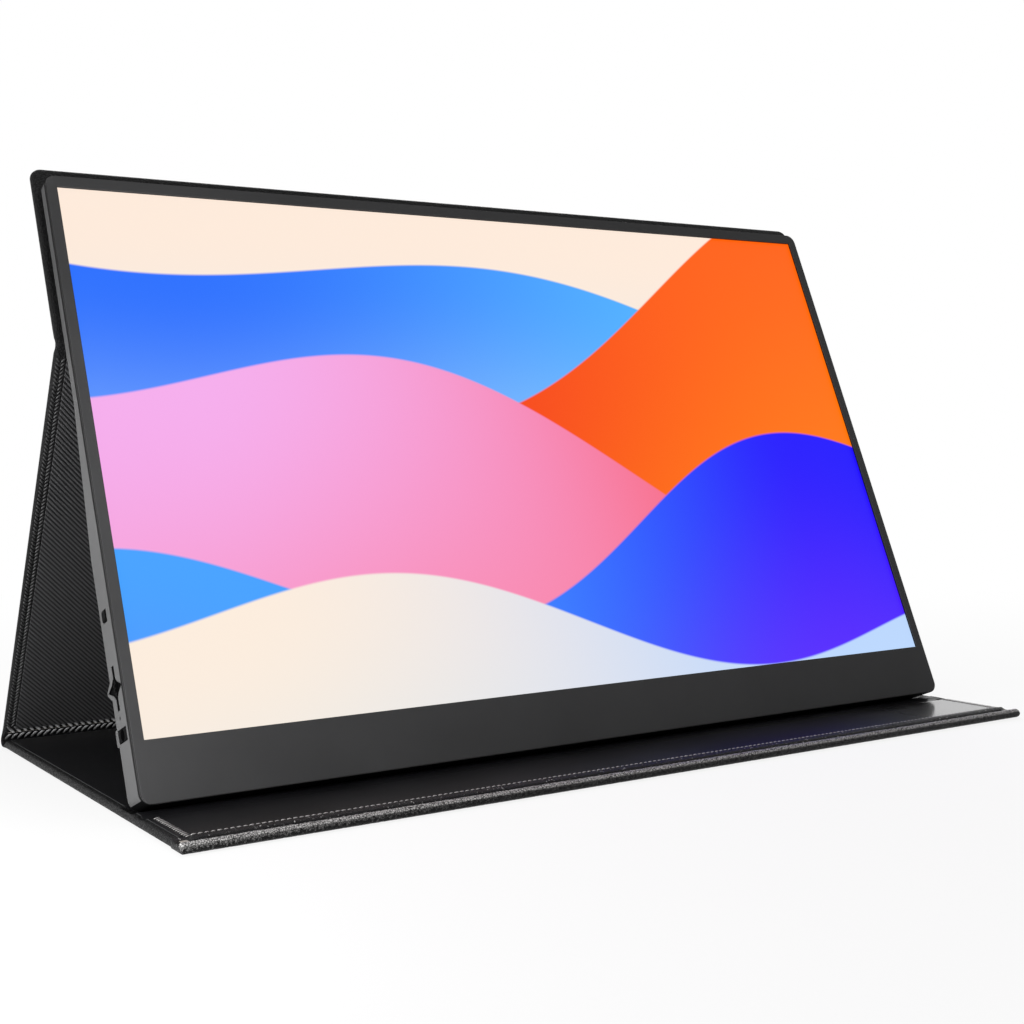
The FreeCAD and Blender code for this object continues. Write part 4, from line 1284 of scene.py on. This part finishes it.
class STAGE_OT_studio(bpy.types.Operator):
    """Floor, lights and camera"""

    bl_idname = "stage.studio"
    bl_label = "Studio"

    # Name, place, target, size and power
    LAMPS = (
        ("side", (-0.42, -0.14, 0.08), (-0.1, -0.03, 0.03), 0.14, 1.6),
        ("top", (0.1, 0.2, 1.4), (0.0, 0.0, 0.1), 1.2, 7.0),
        ("rear", (0.7, 1.2, 0.8), (0.0, 0.03, 0.1), 0.8, 12.0),
    )

    def lamps(self):
        for name, place, target, wide, power in self.LAMPS:
            light = bpy.data.lights.new(name, "AREA")
            light.size = wide
            light.energy = power
            lamp = placed(name, light)
            lamp.location = place
            lamp.rotation_euler = (Vector(target) - Vector(place)).to_track_quat("-Z", "Y").to_euler()
            lamp.visible_camera = False

    def seen(self, graph):
        """1 for rays from the camera, in reflections and through clear parts."""
        path = graph.add("ShaderNodeLightPath").outputs
        seen = graph.maths("MAXIMUM", path["Is Camera Ray"], path["Is Glossy Ray"])
        return graph.maths("MAXIMUM", seen, path["Is Transmission Ray"])

    def backdrop(self):
        """White to the camera and in reflections, softer as a light."""
        world = bpy.data.worlds.new("studio")
        world.use_nodes = True
        world.node_tree.nodes.clear()
        graph = Graph(world.node_tree)
        strength = graph.ranged(self.seen(graph), 0.0, 1.0, 0.22, 1.0)
        sky = graph.add("ShaderNodeBackground", Color=(1, 1, 1, 1), Strength=strength)
        graph.add("ShaderNodeOutputWorld", Surface=sky.outputs["Background"])
        bpy.context.scene.world = world

    def floor(self, look):
        finish = Finish("studio_floor")
        grain = finish.grain(4 * MM)
        shown = finish.mixed(grain["Patch"], toned(look.floor_colour, 0.985), rgba(look.floor_colour))
        finish.shade(Base_Color=shown, Roughness=0.7)
        white = finish.add("ShaderNodeEmission", Color=(1, 1, 1, 1), Strength=1.0)
        away = finish.vector("LENGTH", finish.place)
        fade = finish.eased(away, 0.25, 0.7, 0.84, 1.0)
        share = finish.maths("MULTIPLY", self.seen(finish), fade)
        both = {0: share, 1: finish.shader.outputs["BSDF"], 2: white.outputs["Emission"]}
        mixed = finish.add("ShaderNodeMixShader", both).outputs["Shader"]
        finish.give(finish.output, "Surface", mixed)
        mesh = bpy.data.meshes.new("studio_floor")
        wide = 6.0
        level = -0.2 * MM
        corners = [(x * wide, y * wide, level) for x, y in ((-1, -1), (1, -1), (1, 1), (-1, 1))]
        mesh.from_pydata(corners, [], [(0, 1, 2, 3)])
        plane = placed("studio_floor", coated(mesh, finish.material))

    def camera(self, look):
        data = bpy.data.cameras.new("camera")
        data.lens = look.lens
        data.shift_x, data.shift_y = look.shift
        data.clip_start = 0.01
        eye = placed("camera", data)
        turn = Matrix.Rotation(-look.heading, 4, "Z") @ Matrix.Rotation(math.pi / 2 - look.dip, 4, "X")
        eye.matrix_world = Matrix.Translation(look.viewpoint) @ turn @ Matrix.Rotation(look.roll, 4, "Z")
        bpy.context.scene.camera = eye

    def execute(self, context):
        look = context.scene.stage_look
        self.camera(look)
        self.lamps()
        self.backdrop()
        self.floor(look)
        context.scene.view_settings.view_transform = "Standard"
        return {"FINISHED"}


class VIEW3D_PT_portable_monitor(bpy.types.Panel):
    bl_label = "Portable monitor"
    bl_space_type = "VIEW_3D"
    bl_region_type = "UI"
    bl_category = "Monitor"

    def draw(self, context):
        for operator in OPERATORS:
            self.layout.operator(operator.bl_idname)
        for look in LOOKS:
            group = getattr(context.scene, look)
            for name in group.__annotations__:
                self.layout.prop(group, name)


OPERATORS = (
    STAGE_OT_studio,
    FOLIO_OT_skins,
    FOLIO_OT_linings,
    FOLIO_OT_lip_edge,
    FOLIO_OT_braids,
    FOLIO_OT_lip_stitches,
    HOUSING_OT_shells,
    HOUSING_OT_controls,
    HOUSING_OT_inner_parts,
    SCREEN_OT_picture,
)
LOOKS = {
    "folio_look": FolioLook,
    "stitch_look": StitchLook,
    "housing_look": HousingLook,
    "stage_look": StageLook,
}


def register():
    for item in (*LOOKS.values(), *OPERATORS, VIEW3D_PT_portable_monitor):
        bpy.utils.register_class(item)
    for name, look in LOOKS.items():
        setattr(bpy.types.Scene, name, PointerProperty(type=look))


def unregister():
    for name in LOOKS:
        delattr(bpy.types.Scene, name)
    for item in (VIEW3D_PT_portable_monitor, *reversed(OPERATORS), *LOOKS.values()):
        bpy.utils.unregister_class(item)


def main():
    register()
    for operator in OPERATORS:
        family, action = operator.bl_idname.split(".")
        getattr(getattr(bpy.ops, family), action)()


if __name__ == "__main__":
    main()
